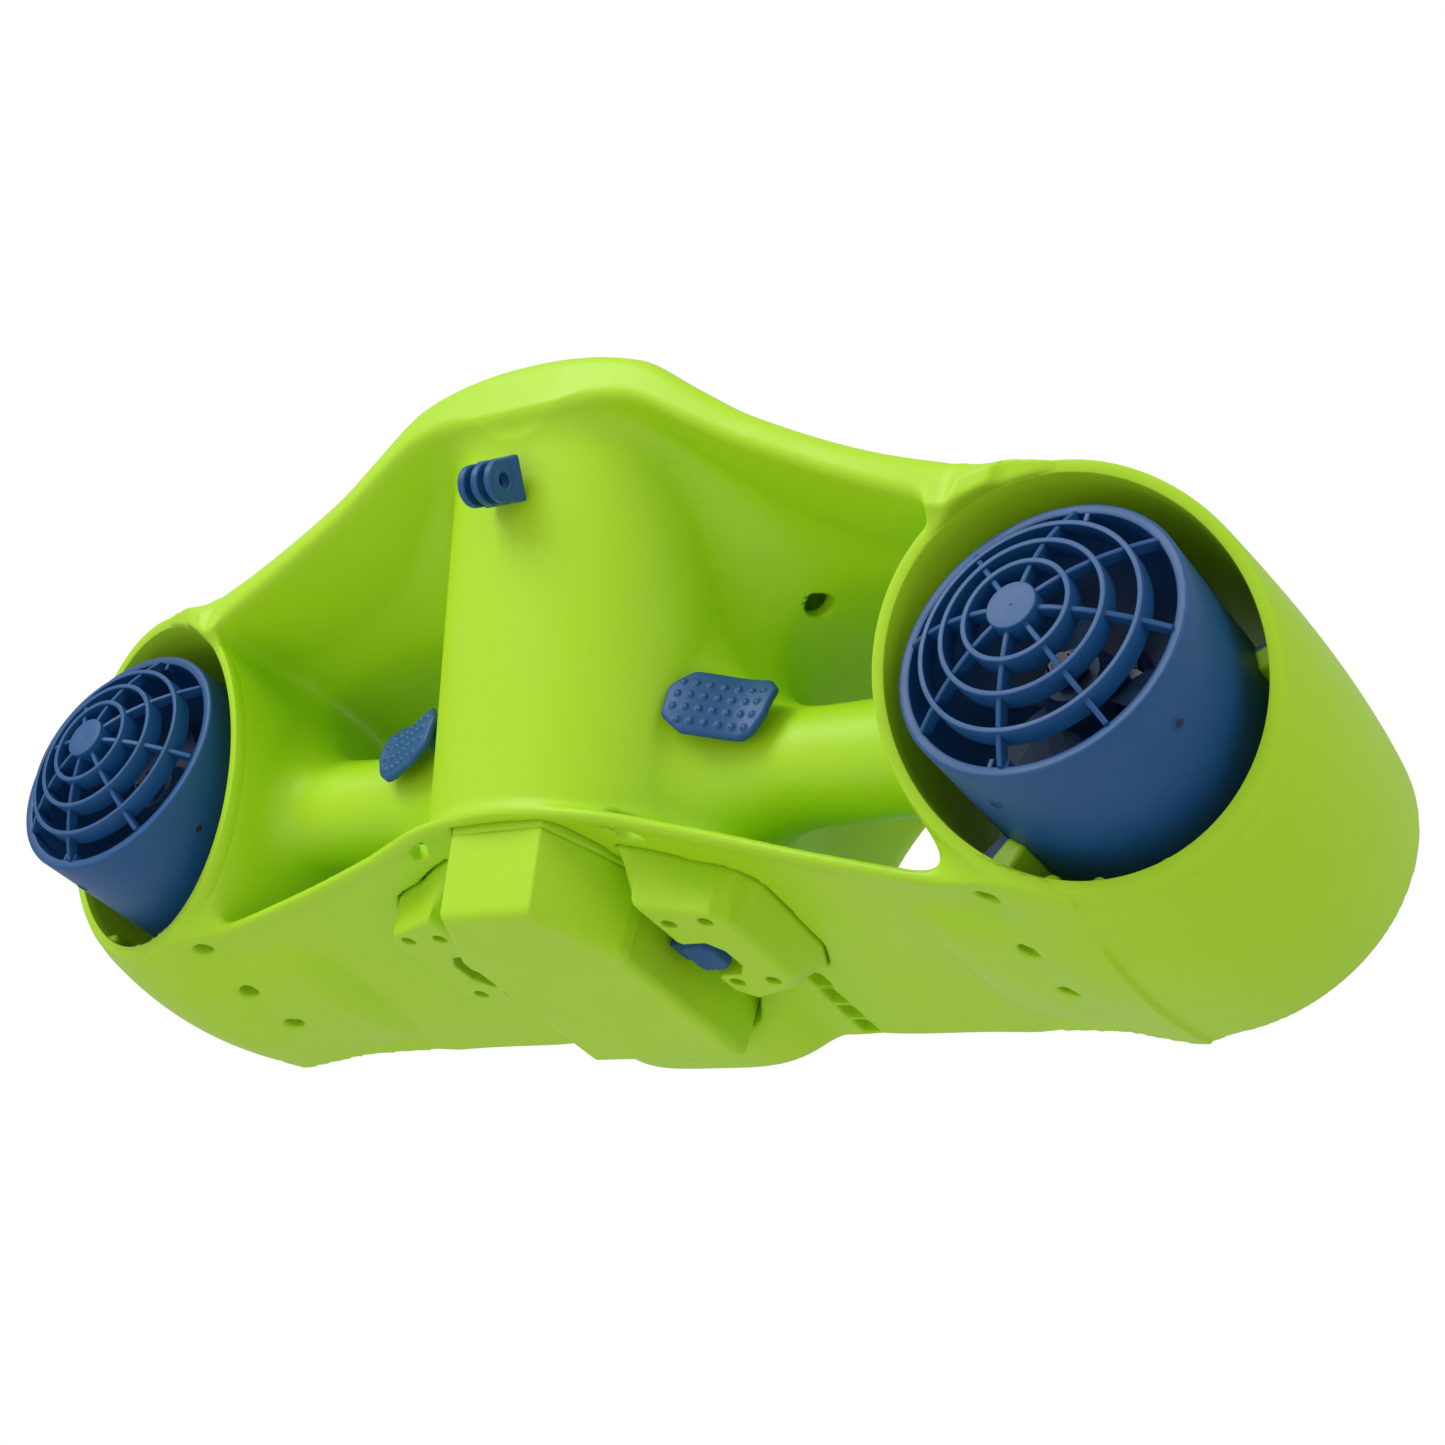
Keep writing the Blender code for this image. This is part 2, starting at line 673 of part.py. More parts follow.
def make_retainer(side, sign):
    outline = retainer_outline()
    top = [(sign * x, y, plate_under(x, y)) for x, y in outline]
    centre_x, centre_y = 59.0, 13.0
    middle = []
    face = []
    for x, y in outline:
        inner = x < 50
        pull = 0.93 if inner else 0.74
        shift_x = x if inner else centre_x + (x - centre_x) * pull
        shift_y = centre_y + (y - centre_y) * 0.86
        middle.append((sign * (x if inner else x - 0.8), y * 0.98, plate_under(x, y) - 4.5))
        face.append((sign * max(shift_x, 41.5), shift_y, RETAINER_FACE))
    piece = loft("retainer_" + side, [face, middle, top], GREEN)
    cutters = []
    window = block("latch_window_" + side, (sign * 30, 3.6, 5), (sign * 61, 31.4, 17.4), GREEN)
    guide = block("latch_guide_" + side, (sign * 30, 10.6, 14), (sign * 68, 24.4, 22.4), GREEN)
    cutters += [window, guide]
    for i, (x, y) in enumerate(retainer_screw_places()):
        place = (sign * x, y, 0)
        cutters.append(spindle(f"head_hole_{side}_{i}", ((3.2, 5), (3.2, 18.6)), 8, place, GREEN, "Z"))
        cutters.append(spindle(f"shank_hole_{side}_{i}", ((1.9, 6), (1.9, 40)), 8, place, GREEN, "Z"))
        top_z = plate_top(x, y) - 1.0
        stations = ((2.8, 16.6), (2.8, 18.3), (1.5, 18.4), (1.5, top_z))
        spindle(f"retainer_screw_{side}_{i + 1}", stations, 8, place, STEEL, "Z")
    cut(piece, *cutters)
    return piece


def make_latch(side, sign):
    """Sliding latch: a thumb pad in the window, and a slide above it whose nose stops at the battery."""
    origin = (sign * 50.0, 17.5, 19.0)
    slide = block("latch_" + side, (sign * 35.6, 12, 15.8), (sign * 57.0, 23, 21.6), BLUE, origin)
    low = [(41.5, 9, 12.6), (53.5, 9, 12.6), (53.5, 26, 12.6), (41.5, 26, 12.6)]
    high = [(40.5, 8.4, 16.9), (55.0, 8.4, 16.9), (55.0, 26.6, 16.9), (40.5, 26.6, 16.9)]
    thumb = loft("latch_thumb_" + side, [[mirrored(p, sign) for p in ring] for ring in (low, high)], BLUE)
    join(slide, thumb)
    spring = spindle("latch_spring_" + side, ((2.2, 57.4), (2.2, 67.6)), 8, (0, 17.5, 18.8), STEEL, "X")
    if sign < 0:
        spring.data.transform(Matrix.Diagonal((-1, 1, 1, 1)))
        spring.data.flip_normals()
    return slide


def make_inside():
    block("battery_contacts", (-16, 30, BATTERY_TOP + GAP), (16, 52, BATTERY_TOP + 7), BLACK, bevel=0.8)
    block("controller_box", (-42, -16, 62), (42, 78, 108), BLACK, bevel=2.5)


# Camera mount: three fingers with a cross hole, leaning forward and down from the column

def make_camera_mount():
    lean = math.radians(42)
    base = Vector((0, -102.1, 135.6))
    turn = Matrix.Rotation(lean, 3, "X")
    pieces = []
    for middle in (-6.0, 0.0, 6.0):
        pieces.append(mount_finger(middle, base, turn))
    foot = [(-8.6, -7.6), (8.6, -7.6), (8.6, 7.6), (-8.6, 7.6)]
    rings = []
    for depth in (6.6, 8.9):
        rings.append([tuple(base + turn @ Vector((x, depth, z))) for x, z in foot])
    mount = loft("camera_mount", rings, BLUE)
    join(mount, *pieces)
    bore = []
    for x in (-12, 12):
        ring = []
        for i in range(16):
            angle = 2 * math.pi * i / 16
            ring.append(tuple(base + turn @ Vector((x, 2.6 * math.cos(angle), 2.6 * math.sin(angle)))))
        bore.append(ring)
    cut(mount, loft("mount_hole", bore, BLUE))
    return mount


def mount_finger(middle, base, turn):
    outline = [(7.5 * math.cos(a), 7.5 * math.sin(a)) for a in
               (math.radians(90 + 180 * i / 8) for i in range(9))]
    outline += [(9.0, -7.5), (9.0, 7.5)]
    rings = []
    for x in (middle - 1.5, middle + 1.5):
        rings.append([tuple(base + turn @ Vector((x, y, z))) for y, z in outline])
    return loft("mount_finger", rings, BLUE)


def main():
    clear_scene()
    make_roof()
    make_plate()
    make_column()
    make_rear_cover()
    make_battery()
    make_inside()
    make_camera_mount()
    for side, sign in SIDES:
        shroud = make_shroud(side, sign)
        make_handle(side, sign)
        make_duct(side, sign)
        make_grille(side, sign)
        make_drive(side, sign)
        lower = make_duct_bracket(side, sign, "lower", 242, 10, -16, 52)
        make_duct_bracket(side, sign, "outer", 20, 9, -12, 52)
        make_duct_bracket(side, sign, "upper", 127, 9, 4, 52)
        make_duct_screws(side, sign, shroud, lower)
        make_trigger(side, sign)
        make_retainer(side, sign)
        make_latch(side, sign)


main()
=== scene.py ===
import math
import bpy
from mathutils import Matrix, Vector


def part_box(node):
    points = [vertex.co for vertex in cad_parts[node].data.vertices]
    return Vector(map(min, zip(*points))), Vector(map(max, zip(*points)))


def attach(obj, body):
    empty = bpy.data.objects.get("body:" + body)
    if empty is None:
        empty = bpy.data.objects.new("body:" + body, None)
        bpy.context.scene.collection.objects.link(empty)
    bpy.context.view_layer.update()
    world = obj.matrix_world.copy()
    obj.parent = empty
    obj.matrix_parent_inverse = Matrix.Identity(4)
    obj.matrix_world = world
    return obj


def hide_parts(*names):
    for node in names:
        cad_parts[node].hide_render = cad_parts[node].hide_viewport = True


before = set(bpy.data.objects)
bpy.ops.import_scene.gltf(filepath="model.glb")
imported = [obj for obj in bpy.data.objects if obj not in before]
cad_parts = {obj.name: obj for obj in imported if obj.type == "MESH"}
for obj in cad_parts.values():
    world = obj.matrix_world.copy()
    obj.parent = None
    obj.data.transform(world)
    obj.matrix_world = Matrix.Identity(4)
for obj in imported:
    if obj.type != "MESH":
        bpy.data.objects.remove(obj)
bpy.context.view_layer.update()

from types import SimpleNamespace

import bmesh
import bpy
import numpy as np
from mathutils import Matrix, Vector

mm = 0.001
sides = (("left", 1), ("right", -1))
print("frame loaded:", len(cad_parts), "nodes")


# Camera: low, in front and to one side, looking up at the underside
camera = {
    "place": (0.5846, -0.5993, -0.3303),
    "ahead": (-0.59342, 0.65527, 0.46740),
    "across": (0.79905, 0.54945, 0.24418),
    "lens": 64.98,
}


def addCamera():
    data = bpy.data.cameras.new("camera")
    data.lens = camera["lens"]
    data.sensor_width = 36.0
    data.clip_start = 0.02
    data.clip_end = 50.0
    obj = bpy.data.objects.new("camera", data)
    bpy.context.scene.collection.objects.link(obj)
    ahead = Vector(camera["ahead"]).normalized()
    across = Vector(camera["across"]).normalized()
    up = across.cross(ahead)
    turn = Matrix((across, up, -ahead)).transposed()
    obj.matrix_world = Matrix.Translation(camera["place"]) @ turn.to_4x4()
    bpy.context.scene.camera = obj


addCamera()


# Shape fields: distances in millimetres over a grid, negative inside, meshed where they cross zero

def blendMin(a, b, k):
    h = np.clip(0.5 + 0.5 * (b - a) / k, 0.0, 1.0)
    return b + (a - b) * h - k * h * (1.0 - h)


def blendMax(a, b, k):
    return -blendMin(-a, -b, k)


def ramp(t):
    t = np.clip(t, 0.0, 1.0)
    return t * t * (3.0 - 2.0 * t)


def alongOutline(outline, x):
    # smooth curve through (distance from the middle, value) points
    px = np.array([p[0] for p in outline], dtype=float)
    py = np.array([p[1] for p in outline], dtype=float)
    slope = np.zeros(len(px))
    slope[1:-1] = (py[2:] - py[:-2]) / (px[2:] - px[:-2])
    slope[-1] = (py[-1] - py[-2]) / (px[-1] - px[-2])
    x = np.clip(np.abs(x), px[0], px[-1])
    i = np.clip(np.searchsorted(px, x, side="right") - 1, 0, len(px) - 2)
    span = px[i + 1] - px[i]
    t = (x - px[i]) / span
    rise = (2 * t**3 - 3 * t**2 + 1) * py[i] + (3 * t**2 - 2 * t**3) * py[i + 1]
    return rise + span * ((t**3 - 2 * t**2 + t) * slope[i] + (t**3 - t**2) * slope[i + 1])


def polygonField(points, x, y):
    # signed distance to a closed outline on a plane
    best = np.full(np.broadcast(x, y).shape, 1e9, dtype=np.float32)
    inside = np.zeros(best.shape, dtype=bool)
    for (ax, ay), (bx, by) in zip(points, points[1:] + points[:1]):
        ex, ey = bx - ax, by - ay
        wx, wy = x - ax, y - ay
        t = np.clip((wx * ex + wy * ey) / (ex * ex + ey * ey), 0.0, 1.0)
        best = np.minimum(best, (wx - ex * t) ** 2 + (wy - ey * t) ** 2)
        crosses = ((ay > y) != (by > y)) & (x < ax + (y - ay) / ((by - ay) or 1e-9) * ex)
        inside ^= crosses
    far = np.sqrt(best)
    return np.where(inside, -far, far)


def boxField(x, y, z, low, high, r=0.0):
    half = [(h - l) / 2 - r for l, h in zip(low, high)]
    mid = [(h + l) / 2 for l, h in zip(low, high)]
    q = [np.abs(v - m) - h for v, m, h in zip((x, y, z), mid, half)]
    out = np.sqrt(sum(np.maximum(v, 0.0) ** 2 for v in q))
    return out + np.minimum(np.maximum(np.maximum(q[0], q[1]), q[2]), 0.0) - r


def grid(low, high, step):
    axes = [np.arange(l, h + step, step, dtype=np.float32) for l, h in zip(low, high)]
    return axes[0][:, None, None], axes[1][None, :, None], axes[2][None, None, :]


def netFromField(field, low, step):
    # surface net: one point in each cell that the surface crosses, one quad for each crossed edge
    field = np.where(np.abs(field) < 1e-4, 1e-4, field)
    neg = field < 0.0
    shape = np.array(field.shape) - 1
    total = np.zeros((*shape, 3), dtype=np.float32)
    count = np.zeros(shape, dtype=np.float32)
    for axis in range(3):
        here = [slice(None)] * 3
        there = [slice(None)] * 3
        here[axis] = slice(0, -1)
        there[axis] = slice(1, None)
        a, b = field[tuple(here)], field[tuple(there)]
        crosses = neg[tuple(here)] != neg[tuple(there)]
        t = np.where(crosses, a / np.where(crosses, a - b, 1.0), 0.0)
        others = [k for k in range(3) if k != axis]
        for u in (0, 1):
            for v in (0, 1):
                pick = [slice(None)] * 3
                pick[others[0]] = slice(u, u + shape[others[0]])
                pick[others[1]] = slice(v, v + shape[others[1]])
                hit = crosses[tuple(pick)]
                count += hit
                total[..., axis] += t[tuple(pick)]
                total[..., others[0]] += hit * u
                total[..., others[1]] += hit * v
    used = count > 0
    index = np.full(shape, -1, dtype=np.int64)
    index[used] = np.arange(int(used.sum()))
    cells = np.argwhere(used).astype(np.float32)
    points = cells + total[used] / count[used][:, None]
    quads = []
    for axis in range(3):
        u, v = [k for k in range(3) if k != axis]
        here = [slice(1, -1)] * 3
        there = [slice(1, -1)] * 3
        here[axis] = slice(0, -1)
        there[axis] = slice(1, None)
        a, b = neg[tuple(here)], neg[tuple(there)]
        for start, flip in ((a & ~b, False), (~a & b, True)):
            at = np.argwhere(start)
            offset = np.array([1, 1, 1])
            offset[axis] = 0
            at = at + offset
            ring = []
            for du, dv in ((-1, -1), (0, -1), (0, 0), (-1, 0)):
                cell = at.copy()
                cell[:, u] += du
                cell[:, v] += dv
                ring.append(index[cell[:, 0], cell[:, 1], cell[:, 2]])
            quad = np.stack(ring, axis=1)
            turned = (axis == 1) != flip
            quads.append(quad[:, ::-1] if turned else quad)
    quads = np.concatenate(quads)
    normals = fieldNormals(field, points)
    return points * step + np.array(low, dtype=np.float32), quads, normals


def sampleField(field, at):
    at = np.clip(at, 0.0, np.array(field.shape) - 1.001)
    cell = at.astype(int)
    part = at - cell
    value = 0.0
    for i in (0, 1):
        for j in (0, 1):
            for k in (0, 1):
                weight = np.abs((1 - i) - part[:, 0]) * np.abs((1 - j) - part[:, 1])
                weight = weight * np.abs((1 - k) - part[:, 2])
                value = value + weight * field[cell[:, 0] + i, cell[:, 1] + j, cell[:, 2] + k]
    return value


def fieldNormals(field, points, reach=0.55):
    normal = np.zeros(points.shape)
    for axis in range(3):
        step = np.zeros(3)
        step[axis] = reach
        normal[:, axis] = sampleField(field, points + step) - sampleField(field, points - step)
    return normal / np.maximum(np.linalg.norm(normal, axis=1, keepdims=True), 1e-9)


def meshFromNet(name, net, material, body, mirror=False):
    points, quads, normals = net
    if mirror:
        points = points * np.array([-1, 1, 1])
        normals = normals * np.array([-1, 1, 1])
        quads = quads[:, ::-1]
    mesh = bpy.data.meshes.new(name)
    mesh.from_pydata((points * mm).tolist(), [], quads.tolist())
    mesh.materials.append(material)
    mesh.shade_smooth()
    mesh.normals_split_custom_set_from_vertices(normals.tolist())
    piece = bpy.data.objects.new(name, mesh)
    bpy.context.scene.collection.objects.link(piece)
    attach(piece, body)
    return piece


# Hull: roof, floor panel, column, grips and shrouds moulded as one smooth skin
hull = {
    "step": 1.3, "ductX": 205.5, "ductZ": 73.0,
    "bore": 58.4, "rim": 62.4, "rear": 82.0,
    "roofRear": 84.0, "floorRear": 98.0, "sheet": 3.6,
    "columnR": 60.0, "columnLean": 0.344, "columnRear": 98.0,
    "gripR": 20.0, "gripY": -5.0, "gripZ": 71.0,
    "roofFront": ((0, -103.3), (48, -100.5), (94, -87.4), (138, -76.8), (178, -66.5), (206, -60.0)),
    "roofTop": ((0, 189.0), (48, 183.0), (72, 170.5), (94, 159.4), (138, 144.0), (178, 137.6), (206, 136.0)),
    "floorFront": ((0, -55.0), (36, -49.5), (75, -35.0), (116, -25.5), (166, -17.0), (206, -13.0)),
    "floorTop": ((0, 36.2), (36, 35.8), (75, 33.2), (116, 26.5), (166, 19.0), (206, 16.0)),
    "floorDrop": ((0, 9.0), (75, 7.0), (116, 1.0), (166, -4.0), (206, -5.0)),
    "lipDepth": ((0, 20.0), (48, 15.0), (94, 10.5), (138, 11.0), (162, 13.0), (206, 14.0)),
    "screwX": 174.6, "screwY": (-9.5, 18.5, 45.5), "screwR": 3.7,
    "slit": [(39.3, -42.6), (49.4, -37.0), (52.3, -30.6), (44.4, -32.4)],
    "drain": (79.0, -11.0, 135.0), "drainWay": (-0.72, 0.05, 0.69),
    "bossAngles": (-97.0, -83.0, -62.0),
}


def shroudFront(x, z):
    return -37.9 + 0.24 * (x - hull["ductX"]) - 0.39 * (z - hull["ductZ"])


def shroudOuter(angle, y):
    front = shroudFront(hull["ductX"] + 60 * np.cos(angle), hull["ductZ"] + 60 * np.sin(angle))
    t = np.clip((y - front) / (hull["rear"] - front), 0.0, 1.0)
    fullness = 4.0 + 2.5 * np.cos(angle + math.radians(75))
    return hull["rim"] + fullness * np.maximum(np.sin(math.pi * t), 0.0) ** 0.8


def roofHeight(x, y):
    base = hull["roofTop"][-1][1] + 1.6
    back = ramp((y + 100) / 200)
    height = base + (alongOutline(hull["roofTop"], x) - base) * (1 - 0.72 * back)
    crown = hull["ductZ"] + shroudOuter(math.pi / 2, y)
    return height + (crown - height) * ramp((x - 158) / 44)


def floorHeight(x, y):
    front = alongOutline(hull["floorFront"], x)
    t = (y - front) / (hull["floorRear"] - front)
    return alongOutline(hull["floorTop"], x) - alongOutline(hull["floorDrop"], x) * ramp(t)


# Battery and retainer sizes come before the hull, because its openings follow them
battery = {
    "step": 0.8, "round": 2.6, "top": 52.0, "lean": 7.4,
    "outline": [(-20.0, -41.3), (20.0, -41.3), (35.6, -10.5), (35.6, -5), (34.2, -3.6), (34.2, 68.5),
                (-34.2, 68.5), (-34.2, -3.6), (-35.6, -5), (-35.6, -10.5)],
}


def batteryLean(y, z):
    # the wedge's front leans ahead as it rises to the floor panel
    return y + battery["lean"] * np.clip(z / 33.0, 0.0, 1.0) * ramp(-y / 34.0)


retainer = {
    "outline": [(38, -29), (48, -24.5), (60, -17.5), (76, -11), (81.5, -3), (81.5, 36), (76.5, 47),
                (62, 50), (49, 52), (41, 46), (38, 40)],
    "faceOutline": [(45.5, -22.5), (60, -17), (71, -13.5), (75, -8), (74.5, 33), (70, 40),
                    (52, 46.5), (45.5, 39.5)],
    "face": 11.8,
    "screws": [(51.6, -8.6), (66.7, -8.6), (51.3, 33.6), (66.3, 33.6)],
}


def roundHole(x, y, z, foot, way, r):
    # distance to an endless round rod through a point
    way = np.array(way) / np.linalg.norm(way)
    rel = (x - foot[0], y - foot[1], z - foot[2])
    along = sum(a * b for a, b in zip(rel, way))
    return np.sqrt(sum((a - along * b) ** 2 for a, b in zip(rel, way))) - r, along


def hullSpace(x, y, z):
    # lengths that several parts of the skin share, over one grid
    at = SimpleNamespace(x=np.abs(x), y=y, z=z)
    at.dx, at.dz = at.x - hull["ductX"], z - hull["ductZ"]
    at.rho = np.sqrt(at.dx * at.dx + at.dz * at.dz)
    at.outer = shroudOuter(np.arctan2(at.dz, at.dx), y)
    at.rimAhead = (shroudFront(at.x, z) - y) / 1.1
    at.top = roofHeight(at.x, y)
    at.behind = y - alongOutline(hull["roofFront"], at.x)
    at.floorTop = floorHeight(at.x, y)
    at.floorBehind = y - alongOutline(hull["floorFront"], at.x)
    at.thick, at.pad = floorThickness(at)
    at.lobe = 9.0 + 30.0 * ((at.x / 62.0) ** 4 + ((y - 84.0) / 26.0) ** 4)
    at.columnBehind = y + 7.7 + hull["columnLean"] * (z - hull["ductZ"])
    ahead = np.minimum(at.columnBehind, 0.0)
    at.core = np.sqrt(at.x * at.x + ahead * ahead) - hull["columnR"]
    step = (1 - ramp((-at.rimAhead - 3.0) / 3.0)) * (1 - ramp((-at.rimAhead - 30.0) / 3.0))
    at.tucked = at.outer - 0.6 * step
    at.halfWidth = np.sqrt(np.maximum(at.outer ** 2 - at.dx ** 2, 0.0))
    at.under = floorUnderside(at)
    return at


def floorThickness(at):
    # the sheet thickens at its front edge and on its way into the shrouds; pads stiffen it from above
    thick = hull["sheet"] + 1.0 * (1 - ramp((at.floorBehind - 2) / 9))
    keel = hull["ductZ"] - shroudOuter(-math.pi / 2, at.y) - 0.2
    flank = at.floorTop - keel - 0.16 * (hull["ductX"] - at.x)
    flank = flank * ramp((at.floorBehind - 2) / 30) * ramp((at.x - 118) / 30)
    pad = 4.0 * (1 - ramp((at.x - 82) / 6)) * (1 - ramp((at.y - 54) / 8)) * ramp((at.floorBehind - 8) / 12)
    ladderPad = 4.5 * (1 - ramp((np.abs(at.x - 65) - 7) / 5)) * ramp((at.y - 48) / 6)
    return np.maximum(thick, flank), np.maximum(pad, ladderPad)


def floorUnderside(at):
    # height of the underside, with the rear lobe and the run into each shroud's round bottom
    near = np.clip(at.x - 120, 0.0, 85.5) / 85.5
    under = blendMin(at.floorTop - at.thick, at.lobe, 5.0)
    return blendMin(under, np.where(at.x > 140, hull["ductZ"] - at.halfWidth, 60.0), 7.0 * near + 0.1)


def roofField(at):
    # sheet with a deep rolled front edge
    lip = alongOutline(hull["lipDepth"], at.x) * (1 - ramp((at.behind - 3.0) / 110.0))
    roof = np.maximum((at.z - at.top) * 0.96, (at.top - hull["sheet"] - lip - at.z) * 0.9)
    roof = blendMax(roof, -at.behind * 0.95, 5.0)
    roof = blendMax(roof, at.y - hull["roofRear"], 2.0)
    return np.maximum(roof, at.dx)


def floorField(at):
    floor = np.maximum((at.z - at.floorTop - at.pad) * 0.98, (at.floorTop - at.thick - at.z) * 0.98)
    floor = blendMax(floor, -at.floorBehind, 3.5)
    floor = blendMax(floor, at.y - hull["floorRear"] + 16.5 * ramp((at.x - 122) / 80), 2.0)
    return np.maximum(floor, at.dx)


def bodyField(at):
    # column with a half-round front, and the grips that flare into it
    column = blendMax(at.core, at.y - hull["columnRear"], 12.0)
    column = np.maximum(column, -97.0 - at.y)
    grip = np.hypot(at.y - hull["gripY"], at.z - hull["gripZ"]) - hull["gripR"]
    grip = np.maximum(grip, at.x - 150)
    return blendMin(column, grip, 12.0 + 28.0 * ramp((at.columnBehind + 38.0) / 34.0))


def shellField(at):
    shell = blendMax(at.rho - at.tucked, at.rimAhead, 1.2)
    return blendMax(shell, at.y - hull["rear"], 2.0)


def trimSkin(shape, at):
    # the roof and the floor run on into the shrouds with no step
    inboard = at.x < hull["ductX"]
    upper = np.where(inboard, np.maximum(at.top, hull["ductZ"] + at.halfWidth), 1e3)
    lower = np.where(inboard, at.under, -1e3)
    shape = np.maximum(shape, (at.z - upper) * 0.96)
    shape = np.maximum(shape, (lower - at.z) * 0.96)
    shape = np.maximum(shape, np.where(inboard, -1e3, at.rho - at.tucked))
    cover = ramp((3.0 - at.dx) / 14.0) * ramp((np.abs(at.dz) - 38.0) / 10.0)
    shape = np.maximum(shape, at.rimAhead + 1.0 - 1.9 * cover - 60.0 * (1 - ramp((at.x - 150) / 36)))
    edge = blendMax((at.z - at.top) * 0.96, -at.behind * 0.95 - 40.0 * ramp((at.x - 165) / 40), 7.0)
    shape = np.where((at.z > 90) & inboard, np.maximum(shape, edge), shape)
    return blendMax(shape, at.y - 99.5, 3.0)


def bayField(at):
    # battery bay: a box with a nose that follows the battery's wedge
    box = boxField(at.x, at.y, at.z, (-10, -41, -20), (36.4, 70, 60), 2.0)
    nose = polygonField(battery["outline"], at.x, batteryLean(at.y, at.z)) - 0.8
    return np.minimum(np.maximum(box, -9.0 - at.y), np.maximum(nose, at.z - 60))


def drainField(at):
    # round hole that opens into a hollow behind the skin
    hole, along = roundHole(at.x, at.y, at.z, hull["drain"], hull["drainWay"], 5.0)
    middle = [c + 12.5 * w for c, w in zip(hull["drain"], hull["drainWay"])]
    cave = np.sqrt((at.x - middle[0]) ** 2 + (at.y - middle[1]) ** 2 + (at.z - middle[2]) ** 2) - 9.5
    return np.minimum(np.maximum(hole, np.abs(along) - 9.0), cave)


def cutOpenings(shape, at):
    # bores, hollow column, battery bay, retainer seats, slits, drain and screw holes
    shape = blendMax(shape, hull["bore"] - at.rho, 1.2)
    inside = np.maximum(at.core + 4.5, at.y - 94.0)
    hollow = np.maximum(inside, np.maximum(at.floorTop + at.pad - at.z, at.z - at.top + 24))
    shape = np.maximum(shape, -hollow)
    shape = blendMax(shape, -bayField(at), 0.5)
    seat = np.maximum(polygonField(retainer["outline"], at.x, at.y) - 0.9, at.z - (at.floorTop + 1.0))
    shape = np.maximum(shape, -seat)
    slit = np.maximum(polygonField(hull["slit"], at.x, at.y), at.z - 38.5)
    shape = np.maximum(shape, -slit)
    for screwY in hull["screwY"]:
        rod = np.hypot(at.x - hull["screwX"], at.y - screwY) - hull["screwR"]
        shape = blendMax(shape, -np.maximum(rod, at.z - 20.6), 0.6)
    return np.maximum(shape, -drainField(at))


def addBosses(shape, at):
    # short round ridges inside each mouth
    for angle in hull["bossAngles"]:
        a = math.radians(angle)
        boss = np.hypot(at.dx - 58.6 * math.cos(a), at.dz - 58.6 * math.sin(a)) - 3.2
        boss = blendMax(boss, np.maximum(at.rimAhead + 2.6, at.y - 20), 2.4)
        shape = blendMin(shape, boss, 1.6)
    return shape


def cutLadder(shape, at):
    # row of four pockets behind each retainer
    for i in range(4):
        y0 = 54.0 + 11.0 * i
        cell = boxField(at.x, at.y, at.z, (61.8, y0, 0), (68.8, y0 + 9.6, 40), 0.4)
        shape = np.maximum(shape, -np.maximum(cell, at.z - at.under - 6.0))
    return shape


def hullField(x, y, z):
    at = hullSpace(x, y, z)
    shape = blendMin(bodyField(at), roofField(at), 11.0 + 58.0 * ramp((at.columnBehind + 40.0) / 56.0))
    shape = blendMin(shape, floorField(at), 3.0 + 7.0 * ramp((y + 52.0) / 20.0))
    shape = blendMin(shape, shellField(at), 12.0)
    lobe = np.maximum(np.maximum((at.lobe - z) * 0.6, z - at.floorTop), y - hull["floorRear"])
    shape = trimSkin(blendMin(shape, lobe, 4.0), at)
    return cutLadder(addBosses(cutOpenings(shape, at), at), at)


def buildHull(material):
    low = (0.0, -112.0, -2.0)
    x, y, z = grid(low, (276.0, 104.0, 194.0), hull["step"])
    half = hullField(x, y, z).astype(np.float32)
    whole = np.concatenate([half[:0:-1], half], axis=0)
    start = -(half.shape[0] - 1) * hull["step"]
    net = netFromField(whole, (start, low[1], low[2]), hull["step"])
    piece = meshFromNet("hull_skin", net, material, "hull")
    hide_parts("roof_cover", "bottom_plate", "pillar_lower", "pillar_upper", "rear_cover",
                "shroud_left", "shroud_right", "handle_left", "handle_right")
    print("hull skin:", len(net[1]), "faces")
    return piece


# Mouth bead: the flat band round each shroud's slanted mouth, which the skin runs into
bead = {"segments": 192,
        "lip": ((58.3, 7.0), (58.3, 0.7), (58.5, 0.2), (59.0, 0.0), (61.6, 0.0), (62.15, 0.2), (62.35, 0.7))}


def buildBeads(material):
    for side, sign in sides:
        points = []
        for i in range(bead["segments"]):
            a = 2 * math.pi * i / bead["segments"]
            y0 = shroudFront(hull["ductX"] + 60 * math.cos(a), hull["ductZ"] + 60 * math.sin(a))
            profile = list(bead["lip"])
            profile += [(float(shroudOuter(a, y0 + deep)) + 0.05, deep) for deep in (1.6, 3.0, 4.6)]
            profile.append((float(shroudOuter(a, y0 + 7.0)) - 0.8, 7.0))
            for r, along in profile:
                x = hull["ductX"] + r * math.cos(a)
                z = hull["ductZ"] + r * math.sin(a)
                points.append((sign * x, shroudFront(x, z) + along, z))
        faces = ringFaces(bead["segments"], len(profile), loop=True)
        newPiece(f"shroud_bead_{side}", points, faces, material, "hull")


# Saddles: rounded blocks between the duct and the shroud
saddle = {"inner": 47.7, "outer": 59.5, "sweep": 9.0, "steps": 7}


